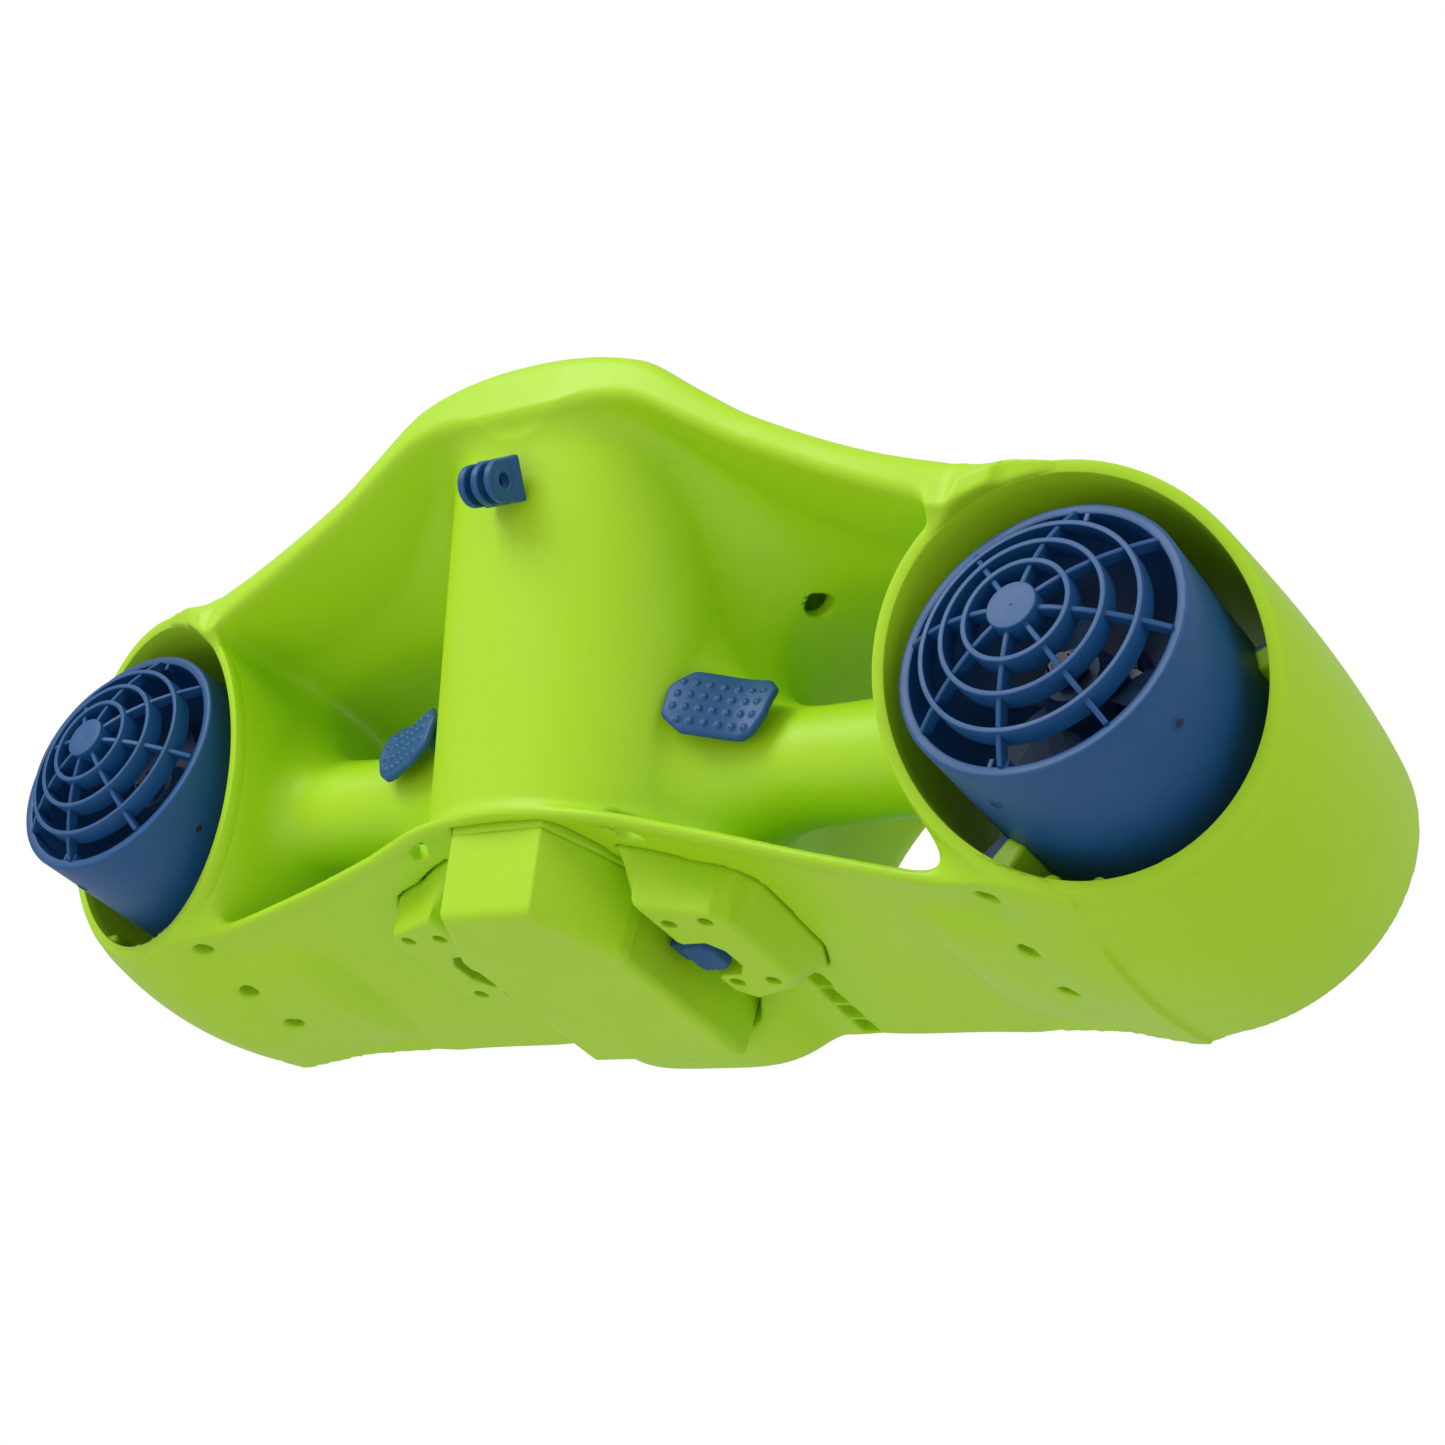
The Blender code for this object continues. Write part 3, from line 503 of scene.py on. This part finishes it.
def buildSaddles(material):
    for side, sign in sides:
        for where in ("lower", "outer", "upper"):
            node = f"duct_bracket_{side}_{where}"
            (x0, y0, z0), (x1, y1, z1) = (tuple(v / mm for v in corner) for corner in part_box(node))
            middle = math.atan2((z0 + z1) / 2 - hull["ductZ"], abs(x0 + x1) / 2 - hull["ductX"])
            points = []
            for i in range(saddle["steps"]):
                a = middle + math.radians(saddle["sweep"]) * (i / (saddle["steps"] - 1) - 0.5)
                for r, y in ((saddle["inner"], y0 + 3), (saddle["outer"], y0 + 3),
                             (saddle["outer"], y1), (saddle["inner"], y1)):
                    points.append((sign * (hull["ductX"] + r * math.cos(a)), y, hull["ductZ"] + r * math.sin(a)))
            faces = ringFaces(saddle["steps"], 4)
            faces += [(0, 1, 2, 3), tuple(range(len(points) - 1, len(points) - 5, -1))]
            newPiece(f"saddle_{side}_{where}", points, faces, material, "hull", bevel=1.8, sharp=50.0)
            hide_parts(node)


# Finishes: one moulded-surface effect, used by every plastic with its own values

def addNode(tree, kind, **values):
    node = tree.nodes.new(kind)
    for key, value in values.items():
        if key in node.inputs:
            node.inputs[key].default_value = value
        else:
            setattr(node, key, value)
    return node


def mouldedSurface():
    # colour that drifts a little with the flow of the melt, fine eroded grain, and soft gloss changes
    group = bpy.data.node_groups.new("moulded_surface", "ShaderNodeTree")
    sockets = (("Colour", "INPUT", "NodeSocketColor"), ("Deep Colour", "INPUT", "NodeSocketColor"),
               ("Drift", "INPUT", "NodeSocketFloat"), ("Grain Scale", "INPUT", "NodeSocketFloat"),
               ("Gloss Low", "INPUT", "NodeSocketFloat"), ("Gloss High", "INPUT", "NodeSocketFloat"),
               ("Colour", "OUTPUT", "NodeSocketColor"), ("Roughness", "OUTPUT", "NodeSocketFloat"),
               ("Height", "OUTPUT", "NodeSocketFloat"))
    for name, way, kind in sockets:
        group.interface.new_socket(name=name, in_out=way, socket_type=kind)
    inside = group.nodes.new("NodeGroupInput")
    outside = group.nodes.new("NodeGroupOutput")
    link = group.links.new
    place = addNode(group, "ShaderNodeTexCoord")
    flow = addNode(group, "ShaderNodeTexNoise", Scale=9.0, Detail=3.0, Roughness=0.55, Distortion=0.6)
    speck = addNode(group, "ShaderNodeTexNoise", Scale=420.0, Detail=2.0)
    grain = addNode(group, "ShaderNodeTexNoise", Detail=2.0, Roughness=0.6)
    cloud = addNode(group, "ShaderNodeTexNoise", Scale=34.0, Detail=4.0)
    for node in (flow, speck, grain, cloud):
        link(place.outputs["Object"], node.inputs["Vector"])
    link(inside.outputs["Grain Scale"], grain.inputs["Scale"])
    mixed = addNode(group, "ShaderNodeMath", operation="MULTIPLY_ADD")
    link(speck.outputs["Fac"], mixed.inputs[0])
    mixed.inputs[1].default_value = 0.35
    link(flow.outputs["Fac"], mixed.inputs[2])
    spread = addNode(group, "ShaderNodeMapRange", clamp=True)
    spread.inputs["From Min"].default_value = 0.42
    spread.inputs["From Max"].default_value = 0.92
    link(mixed.outputs[0], spread.inputs["Value"])
    amount = addNode(group, "ShaderNodeMath", operation="MULTIPLY")
    link(spread.outputs["Result"], amount.inputs[0])
    link(inside.outputs["Drift"], amount.inputs[1])
    tint = addNode(group, "ShaderNodeMix", data_type="RGBA")
    link(amount.outputs[0], tint.inputs["Factor"])
    link(inside.outputs["Colour"], tint.inputs["A"])
    link(inside.outputs["Deep Colour"], tint.inputs["B"])
    gloss = addNode(group, "ShaderNodeMapRange", clamp=True)
    gloss.inputs["From Min"].default_value = 0.3
    gloss.inputs["From Max"].default_value = 0.7
    link(cloud.outputs["Fac"], gloss.inputs["Value"])
    link(inside.outputs["Gloss Low"], gloss.inputs["To Min"])
    link(inside.outputs["Gloss High"], gloss.inputs["To Max"])
    link(tint.outputs["Result"], outside.inputs["Colour"])
    link(gloss.outputs["Result"], outside.inputs["Roughness"])
    link(grain.outputs["Fac"], outside.inputs["Height"])
    return group


surfaceGroup = mouldedSurface()


def plastic(name, look):
    material = bpy.data.materials.new(name)
    material.use_nodes = True
    tree = material.node_tree
    shader = tree.nodes["Principled BSDF"]
    shader.inputs["IOR"].default_value = look.get("ior", 1.46)
    shader.inputs["Specular IOR Level"].default_value = look.get("specular", 0.5)
    shader.inputs["Metallic"].default_value = look.get("metallic", 0.0)
    shader.inputs["Subsurface Weight"].default_value = look.get("glow", 0.0)
    shader.inputs["Subsurface Scale"].default_value = 0.004
    surface = tree.nodes.new("ShaderNodeGroup")
    surface.node_tree = surfaceGroup
    surface.inputs["Colour"].default_value = (*look["colour"], 1.0)
    surface.inputs["Deep Colour"].default_value = (*look["deep"], 1.0)
    surface.inputs["Drift"].default_value = look["drift"]
    surface.inputs["Grain Scale"].default_value = look["grain"]
    surface.inputs["Gloss Low"].default_value = look["gloss"][0]
    surface.inputs["Gloss High"].default_value = look["gloss"][1]
    bump = tree.nodes.new("ShaderNodeBump")
    bump.inputs["Strength"].default_value = look["bump"]
    bump.inputs["Distance"].default_value = 0.0004
    tree.links.new(surface.outputs["Colour"], shader.inputs["Base Color"])
    tree.links.new(surface.outputs["Roughness"], shader.inputs["Roughness"])
    tree.links.new(surface.outputs["Height"], bump.inputs["Height"])
    tree.links.new(bump.outputs["Normal"], shader.inputs["Normal"])
    return material


finishes = {
    "green": {"colour": (0.45, 0.765, 0.010), "deep": (0.39, 0.69, 0.008), "drift": 0.5, "grain": 1500.0,
              "gloss": (0.40, 0.52), "bump": 0.10},
    # the hull's green made darker for the brackets inside the shrouds, as painted shade
    "greenPaintedShade": {"colour": (0.42, 0.70, 0.012), "deep": (0.34, 0.58, 0.010), "drift": 0.6, "grain": 1300.0,
                   "gloss": (0.46, 0.60), "bump": 0.14},
    "blue": {"colour": (0.010, 0.088, 0.262), "deep": (0.005, 0.066, 0.208), "drift": 0.7, "grain": 1800.0,
             "gloss": (0.40, 0.52), "bump": 0.10},
    # the duct's blue made darker for the propeller and stator deep inside the ducts, as painted shade
    "bluePaintedShade": {"colour": (0.006, 0.040, 0.110), "deep": (0.004, 0.026, 0.078), "drift": 0.7, "grain": 1600.0,
             "gloss": (0.42, 0.56), "bump": 0.12},
    "black": {"colour": (0.018, 0.020, 0.026), "deep": (0.010, 0.011, 0.015), "drift": 0.7, "grain": 1400.0,
              "gloss": (0.45, 0.62), "bump": 0.2},
    "steel": {"colour": (0.60, 0.60, 0.58), "deep": (0.42, 0.42, 0.42), "drift": 0.6, "grain": 2600.0,
              "gloss": (0.24, 0.40), "bump": 0.12, "metallic": 1.0},
    "darkMetal": {"colour": (0.09, 0.10, 0.12), "deep": (0.05, 0.055, 0.065), "drift": 0.6, "grain": 2200.0,
                  "gloss": (0.30, 0.44), "bump": 0.12, "metallic": 1.0},
}
green, greenPaintedShade, blue, bluePaintedShade, black, steel, darkMetal = (plastic(*item) for item in finishes.items())
print("finishes made")


# Plain mesh helpers, in millimetres

def newPiece(name, points, faces, material, body, bevel=0.0, sharp=32.0):
    mesh = bpy.data.meshes.new(name)
    mesh.from_pydata([Vector(p) * mm for p in points], [], faces)
    work = bmesh.new()
    work.from_mesh(mesh)
    bmesh.ops.recalc_face_normals(work, faces=work.faces)
    work.to_mesh(mesh)
    work.free()
    mesh.materials.append(material)
    mesh.shade_smooth()
    mesh.set_sharp_from_angle(angle=math.radians(sharp))
    piece = bpy.data.objects.new(name, mesh)
    bpy.context.scene.collection.objects.link(piece)
    if bevel:
        edge = piece.modifiers.new("edge", "BEVEL")
        edge.width = bevel * mm
        edge.segments = 3
        edge.limit_method = "ANGLE"
        edge.angle_limit = math.radians(sharp)
    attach(piece, body)
    return piece


def ringFaces(rings, around, closed=True, start=0, loop=False):
    faces = []
    for i in range(rings if loop else rings - 1):
        a, b = start + i * around, start + (i + 1) % rings * around
        for j in range(around if closed else around - 1):
            k = (j + 1) % around
            faces.append((a + j, a + k, b + k, b + j))
    return faces


def lathe(profile, segments, centre):
    # turns a closed (radius, along) profile about the line through centre that runs along Y
    points = []
    for i in range(segments):
        a = 2 * math.pi * i / segments
        for r, y in profile:
            points.append((centre[0] + r * math.cos(a), centre[1] + y, centre[2] + r * math.sin(a)))
    return points, ringFaces(segments, len(profile), loop=True)


def roundedProfile(r0, r1, y0, y1, edge, steps=4):
    # rectangle between two radii and two depths, with rounded corners
    corners = ((r1 - edge, y0 + edge, -90), (r1 - edge, y1 - edge, 0), (r0 + edge, y1 - edge, 90),
               (r0 + edge, y0 + edge, 180))
    out = []
    for cr, cy, begin in corners:
        for i in range(steps + 1):
            a = math.radians(begin + 90 * i / steps)
            out.append((cr + edge * math.cos(a), cy + edge * math.sin(a)))
    return out


def addTo(points, faces, more):
    start = len(points)
    points.extend(more[0])
    faces.extend(tuple(i + start for i in face) for face in more[1])


def barBetween(stations, edge=0.3):
    # bar of rectangular section with chipped corners; a station is (middle, across, up, half width, half height)
    points = []
    for middle, across, up, w, h in stations:
        middle, across, up = Vector(middle), Vector(across), Vector(up)
        for u, v in ((-w, -h + edge), (-w + edge, -h), (w - edge, -h), (w, -h + edge),
                     (w, h - edge), (w - edge, h), (-w + edge, h), (-w, h - edge)):
            points.append(middle + across * u + up * v)
    faces = ringFaces(len(stations), 8)
    faces.append(tuple(range(8)))
    faces.append(tuple(range(len(points) - 1, len(points) - 9, -1)))
    return points, faces


# Grille: a dome of rings and spokes over the duct's mouth
grille = {
    "front": -57.6, "rise": 17.8, "ductR": 48.0,
    "rings": (18.1, 27.6, 37.1), "wall": 1.8, "depth": 7.6, "hub": 8.2,
    "spokes": 8, "firstSpoke": -4.0,
}


def domeHeight(r):
    return grille["rise"] * (1 - (r / grille["ductR"]) ** 2)


def buildGrille(side, sign):
    centre = (sign * hull["ductX"], grille["front"], hull["ductZ"])
    points, faces = [], []
    for r in grille["rings"]:
        face = -domeHeight(r)
        profile = roundedProfile(r - grille["wall"], r, face, face + grille["depth"], 0.35)
        addTo(points, faces, lathe(profile, 96, centre))
    hubFace = -domeHeight(0) + 0.2
    profile = roundedProfile(0.05, grille["hub"], hubFace, hubFace + 9.0, 0.5)
    addTo(points, faces, lathe(profile, 64, centre))
    for i in range(grille["spokes"]):
        angle = math.radians(grille["firstSpoke"] + 360 * i / grille["spokes"])
        out = Vector((math.cos(angle), 0, math.sin(angle)))
        across = Vector((-math.sin(angle), 0, math.cos(angle)))
        stations = []
        for step in range(9):
            r = 7.0 + (44.6 - 7.0) * step / 8
            middle = Vector(centre) + out * r + Vector((0, 3.9 - domeHeight(r), 0))
            stations.append((middle, across, (0, 1, 0), 0.85, 2.4))
        addTo(points, faces, barBetween(stations))
    piece = newPiece(f"grille_rings_{side}", points, faces, blue, "hull")
    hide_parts("grille_" + side)


# Duct: the smooth tube that holds grille, propeller and stator
duct = {
    "rear": 62.0, "inner": 44.2, "outer": 48.0,
    "lugAngles": (84.0, -96.0), "screwAngles": (-30.0, -107.0),
    "flangeAngles": (-126.0, 22.0), "flangeWide": 5.0, "flangeY": (-8.0, -5.6),
}


def ductFlange(centre, sign, middle):
    # short flange that screws to a saddle
    start, end = duct["flangeY"]
    points = []
    for step in range(7):
        a = math.radians(middle + duct["flangeWide"] * (step / 3.0 - 1.0))
        for r, y in ((47.6, start), (56.6, start), (57.0, start + 0.4), (57.0, end), (47.6, end)):
            points.append((centre[0] + sign * r * math.cos(a), y, centre[2] + r * math.sin(a)))
    faces = ringFaces(7, 5)
    faces.append(tuple(range(5)))
    faces.append(tuple(range(34, 29, -1)))
    return points, faces


def buildDuct(side, sign):
    centre = (sign * hull["ductX"], 0.0, hull["ductZ"])
    y0, y1 = grille["front"], duct["rear"]
    outer, inner = duct["outer"], duct["inner"]
    profile = [(inner, y0 + 0.6), (inner + 0.2, y0 + 0.2), (inner + 0.6, y0), (outer - 1.1, y0),
               (outer - 0.5, y0 + 0.15), (outer - 0.15, y0 + 0.5), (outer, y0 + 1.1)]
    profile += [(outer, y0 + 8), (outer + 0.02, y0 + 40), (outer, y1 - 30), (outer - 1.0, y1 - 14),
                (outer - 2.5, y1), (outer - 2.9, y1 + 0.5), (inner - 2.0, y1 + 0.5), (inner - 2.5, y1),
                (inner - 1.2, y1 - 16), (inner, y1 - 32), (inner, y0 + 20)]
    points, faces = lathe(profile, 128, centre)
    for angle in duct["lugAngles"]:
        a = math.radians(angle)
        out = Vector((math.cos(a), 0, math.sin(a)))
        across = Vector((-math.sin(a), 0, math.cos(a)))
        for step in (-2.6, 2.6):
            stations = []
            for r in (41.6, 45.4):
                middle = Vector(centre) + out * r + across * step + Vector((0, y0 + 2.2, 0))
                stations.append((middle, across, (0, 1, 0), 0.9, 2.0))
            addTo(points, faces, barBetween(stations))
    for middle in duct["flangeAngles"]:
        addTo(points, faces, ductFlange(centre, sign, middle))
    piece = newPiece(f"duct_tube_{side}", points, faces, blue, "hull")
    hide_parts("duct_" + side)
    screws, holes = [], []
    for angle in duct["screwAngles"]:
        a = math.radians(angle)
        out = Vector((math.cos(a), 0, math.sin(a)))
        foot = Vector(centre) + Vector((0, grille["front"] + 17.5, 0))
        turn = Vector((0, 0, 1)).rotation_difference(out).to_matrix()
        # no hole is cut in an eyelet: a flat black disc in its middle stands for the hole, as painted shade
        for r0, r1, d0, d1 in ((1.7, 2.35, 47.7, 48.25), (0.0, 1.7, 47.9, 48.04)):
            rings = []
            for r, d in ((r0, d0), (r0, d1), ((r0 + r1) / 2, d1 + 0.12 * (r0 > 0)), (r1, d1 - 0.1), (r1, d0)):
                for i in range(24):
                    t = 2 * math.pi * i / 24
                    rings.append(foot + turn @ Vector((r * math.cos(t), r * math.sin(t), d)))
            target = holes if r0 == 0.0 else screws
            target.append((rings, ringFaces(5, 24)))
    eyelets = ((f"duct_eyelet_{side}", screws, blue), (f"duct_eyelet_painted_shade_{side}", holes, black))
    for name, parts, material in eyelets:
        points, faces = [], []
        for part in parts:
            addTo(points, faces, part)
        newPiece(name, points, faces, material, "hull")


# Trigger: a dished pad with rows of small raised dots, on an arm that reaches its pin inside the column
trigger = {
    "step": 0.42, "thick": 3.2, "round": 3.4, "rows": 4, "columns": 8,
    "dotR": 1.2, "pitch": 4.3, "rowPitch": 4.9,
    "outline": [(56.4, 74), (56.4, 82.5), (61.5, 87.9), (82.5, 88.2), (85.2, 85.5), (84.6, 77), (82.0, 71.4),
                (79.4, 69.8), (62.0, 69.8)],
    "pin": (45.0, -27.5),
}


def triggerFace(x, z):
    # height of the pad's front: it falls away outboard, and its top curls back over the grip
    u = (x - 53.5) / 34.0
    v = (z - 68.0 + 3.5 * u) / 25.5
    curl = 9.0 * np.maximum(v - 0.5, 0.0) ** 1.6 + 3.0 * np.maximum(0.25 - v, 0.0)
    return -44.0 + 11.0 * ramp(u * 1.1) + curl


def buildTrigger():
    low, high = (50.0, -47.0, 63.0), (92.0, -22.0, 95.0)
    step = trigger["step"]
    x, y, z = grid(low, high, step)
    outline = polygonField(trigger["outline"], x, z) - trigger["round"]
    middle = triggerFace(x, z) + trigger["thick"] / 2
    pad = blendMax(outline, (np.abs(y - middle) - trigger["thick"] / 2) * 0.9, 1.6)
    for row in range(trigger["rows"]):
        for column in range(trigger["columns"]):
            dotX = 57.0 + trigger["pitch"] * column - 1.3 * (row < 1) + 0.5 * row
            dotZ = 70.6 + trigger["rowPitch"] * row
            if polygonField(trigger["outline"], np.array([dotX]), np.array([dotZ]))[0] > 0.6:
                continue
            face = float(triggerFace(dotX, dotZ))
            far = np.sqrt((x - dotX) ** 2 + (z - dotZ) ** 2 + ((y - face) * 1.6) ** 2)
            pad = blendMin(pad, far - trigger["dotR"], 0.5)
    net = netFromField(pad, low, step)
    pinX, pinY = trigger["pin"]
    bars = (
        [((endX, pinY, 82), (0, 1, 0), (0, 0, 1), 3.0, 5.6) for endX in (pinX, 59.5)],
        [((57.2, endY, 82), (1, 0, 0), (0, 0, 1), 2.6, 5.6) for endY in (-40.2, pinY)],
    )
    for side, sign in sides:
        body = "trigger_lever_" + side
        meshFromNet(f"trigger_pad_{side}", net, blue, body, mirror=sign < 0)
        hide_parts("trigger_" + side)
        points, faces = [], []
        for bar in bars:
            more = barBetween(bar, 0.6)
            addTo(points, faces, ([(p[0] * sign, p[1], p[2]) for p in more[0]], more[1]))
        newPiece(f"trigger_arm_{side}", points, faces, blue, body)


# Camera mount: three thin fingers with a cross hole, leaning forward and down
cameraMount = {"hole": (0.0, -102.1, 135.6), "lean": 42.0, "fingers": (-6.0, 0.0, 6.0), "half": 1.5,
               "r": 7.5, "holeR": 2.6, "step": 0.4}


def buildCameraMount():
    lean = math.radians(cameraMount["lean"])
    hx, hy, hz = cameraMount["hole"]
    low, high = (-10.4, hy - 11, hz - 11), (10.4, hy + 14, hz + 14)
    x, y, z = grid(low, high, cameraMount["step"])
    # local axes: out runs towards the finger tips, up across them
    back = (y - hy) * math.cos(lean) + (z - hz) * math.sin(lean)
    up = -(y - hy) * math.sin(lean) + (z - hz) * math.cos(lean)
    r = cameraMount["r"]
    knuckle = np.sqrt(back**2 + up**2) - r
    plate = np.maximum(np.abs(up) - r, np.maximum(-back, back - 8.6))
    side = np.minimum(knuckle, plate)
    field = np.full(np.broadcast(x, y, z).shape, 1e3)
    for middle in cameraMount["fingers"]:
        finger = blendMax(side, np.abs(x - middle) - cameraMount["half"], 0.7)
        boss = np.maximum(np.sqrt(back**2 + up**2) - 4.3, np.abs(x - middle) - cameraMount["half"] - 0.25)
        field = np.minimum(field, np.minimum(finger, boss))
    foot = boxField(x, back, up, (-8.6, 5.6, -7.9), (8.6, 8.9, 7.9), 0.9)
    field = blendMin(field, foot, 1.6)
    hole = np.sqrt(back**2 + up**2) - cameraMount["holeR"]
    field = blendMax(field, -hole, 0.5)
    net = netFromField(field, low, cameraMount["step"])
    piece = meshFromNet("camera_fingers", net, blue, "hull")
    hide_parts("camera_mount")


# Battery: a shoe-shaped pack that fills the bay, a little narrower behind its wedge, with softened edges
def buildBattery():
    low, high = (-38, -52, -2), (38, 72, 55)
    x, y, z = grid(low, high, battery["step"])
    r = battery["round"]
    outline = polygonField(battery["outline"], x, batteryLean(y, z)) * 0.96
    field = blendMax(outline, -z, r * 1.6)
    field = blendMax(field, z - battery["top"], 2.0)
    seam = np.abs(z - 30.0) - 0.35
    field = np.maximum(field, -np.maximum(seam, -0.6 - outline))
    net = netFromField(field, low, battery["step"])
    piece = meshFromNet("battery_shell", net, green, "battery")
    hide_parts("battery_pack")


# Retainers: screwed blocks beside the battery that guide the latches
def buildRetainers():
    low, high = (34.0, -32.0, 8.0), (85.0, 55.0, 36.0)
    step = 0.7
    x, y, z = grid(low, high, step)
    outline = retainer["outline"]
    wide = polygonField(outline, x, y)
    narrow = polygonField(retainer["faceOutline"], x, y)
    top = floorHeight(x, y) - hull["sheet"] + 0.1
    drop = np.clip((top - 0.6 - z) / (top - 0.6 - retainer["face"]), 0.0, 1.0)
    field = (wide * (1 - drop) + narrow * drop) * 0.88
    field = blendMax(field, retainer["face"] - z, 2.6)
    field = np.maximum(field, z - top - 2.6)
    window = polygonField([(30, 3.0), (44.0, 3.0), (48.0, 5.4), (57.0, 5.4), (61.0, 11.5), (61.0, 22.0),
                           (56.0, 28.4), (48, 28.4), (44.0, 31.4), (30, 31.4)], x, y)
    field = blendMax(field, -np.maximum(window, z - 18.6), 0.8)
    for sx, sy in retainer["screws"]:
        hole = np.sqrt((x - sx) ** 2 + (y - sy) ** 2)
        field = blendMax(field, -np.maximum(hole - 2.7, z - 18.4), 0.5)
    net = netFromField(field, low, step)
    for side, sign in sides:
        piece = meshFromNet(f"retainer_block_{side}", net, green, "hull", mirror=sign < 0)
        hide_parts("retainer_" + side)


def buildLatches():
    low, high = (34.0, 5.0, 10.0), (60.0, 30.0, 24.0)
    step = 0.4
    x, y, z = grid(low, high, step)
    pad = polygonField([(41.0, 10.5), (44.5, 8.4), (52.0, 8.4), (55.6, 13.0), (55.6, 22.0), (52.0, 26.6),
                        (44.5, 26.6), (41.0, 24.4)], x, y)
    slope = 0.35 * np.maximum(16.0 - z, 0.0)
    field = blendMax(pad + slope, 12.4 - z, 1.2)
    field = np.maximum(field, z - 17.2)
    ridges = 0.28 * np.cos((x - 48.0) * 2.6) * (1 - ramp((z - 12.9) / 0.8))
    ridges = ridges * (1 - ramp((np.abs(x - 48) - 4) / 1.0))
    field = field + np.where(pad < -1.6, ridges, 0.0)
    slide = boxField(x, y, z, (35.6, 12.0, 15.8), (57.0, 23.0, 21.6), 0.6)
    field = np.minimum(field, slide)
    net = netFromField(field, low, step)
    for side, sign in sides:
        piece = meshFromNet(f"latch_pad_{side}", net, blue, f"latch_slide_{side}", mirror=sign < 0)
        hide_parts("latch_" + side)


buildHull(green)
buildBeads(green)
buildSaddles(green)
buildBattery()
buildRetainers()
buildLatches()
buildCameraMount()
buildTrigger()
print("battery, retainers, latches, camera mount and triggers made")
for side, sign in sides:
    buildGrille(side, sign)
    buildDuct(side, sign)
print("grilles and ducts made")


# CAD pieces that keep their shape take the same finishes
# the duct brackets inside the shrouds take the darker copy of the green, as painted shade
kept = {"duct_bracket": greenPaintedShade, "duct_screw": darkMetal, "retainer_screw": darkMetal,
        "motor_shaft": darkMetal, "prop_nut": darkMetal, "trigger_pin": steel, "latch_spring": steel,
        "trigger_bracket": black, "battery_contacts": black, "controller_box": black,
        # propeller and stator take the darker copy of the blue, as painted shade of the duct's interior
        "propeller": bluePaintedShade, "stator": bluePaintedShade, "motor_can": darkMetal}
for name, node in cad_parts.items():
    for start, material in kept.items():
        if name.startswith(start):
            for slot in node.material_slots:
                slot.material = material
print("kept nodes finished")


# Stage: a pale floor well below, and plain soft light
stage = {"floorZ": -1.35, "floorSize": 9.0, "floorColour": (0.86, 0.86, 0.86), "sky": (1.0, 1.0, 1.0),
         "skyStrength": 0.56, "backdropStrength": 1.0}
lamps = {
    "key": {"place": (-0.9, -2.0, 1.3), "size": 1.6, "watts": 33.0},
    "side": {"place": (2.0, -0.8, 1.3), "size": 1.6, "watts": 10.0},
    "low": {"place": (-0.3, -1.4, -0.9), "size": 1.6, "watts": 2.5},
}


def buildStage():
    half = stage["floorSize"] / 2
    mesh = bpy.data.meshes.new("floor")
    corners = [(-half, -half, stage["floorZ"]), (half, -half, stage["floorZ"]),
               (half, half, stage["floorZ"]), (-half, half, stage["floorZ"])]
    mesh.from_pydata(corners, [], [(0, 1, 2, 3)])
    floor = bpy.data.objects.new("floor", mesh)
    bpy.context.scene.collection.objects.link(floor)
    material = bpy.data.materials.new("floor_paint")
    material.use_nodes = True
    tree = material.node_tree
    shader = tree.nodes["Principled BSDF"]
    shader.inputs["Roughness"].default_value = 0.8
    noise = addNode(tree, "ShaderNodeTexNoise", Scale=3.0)
    mix = addNode(tree, "ShaderNodeMix", data_type="RGBA")
    mix.inputs["A"].default_value = (*stage["floorColour"], 1.0)
    mix.inputs["B"].default_value = (*(c * 0.98 for c in stage["floorColour"]), 1.0)
    tree.links.new(noise.outputs["Fac"], mix.inputs["Factor"])
    tree.links.new(mix.outputs["Result"], shader.inputs["Base Color"])
    mesh.materials.append(material)
    world = bpy.context.scene.world or bpy.data.worlds.new("studio")
    bpy.context.scene.world = world
    world.use_nodes = True
    tree = world.node_tree
    sky = tree.nodes["Background"]
    sky.inputs["Color"].default_value = (*stage["sky"], 1.0)
    path = addNode(tree, "ShaderNodeLightPath")
    strength = addNode(tree, "ShaderNodeMapRange")
    strength.inputs["To Min"].default_value = stage["skyStrength"]
    strength.inputs["To Max"].default_value = stage["backdropStrength"]
    tree.links.new(path.outputs["Is Camera Ray"], strength.inputs["Value"])
    tree.links.new(strength.outputs["Result"], sky.inputs["Strength"])
    bpy.context.scene.view_settings.view_transform = "Standard"
    for name, lamp in lamps.items():
        data = bpy.data.lights.new(name, "AREA")
        data.shape = "DISK"
        data.size = lamp["size"]
        data.energy = lamp["watts"]
        obj = bpy.data.objects.new(name, data)
        bpy.context.scene.collection.objects.link(obj)
        obj.location = lamp["place"]
        way = Vector((0, 0, 0.09)) - Vector(lamp["place"])
        obj.rotation_euler = way.to_track_quat("-Z", "Y").to_euler()


buildStage()
print("stage and lights made")

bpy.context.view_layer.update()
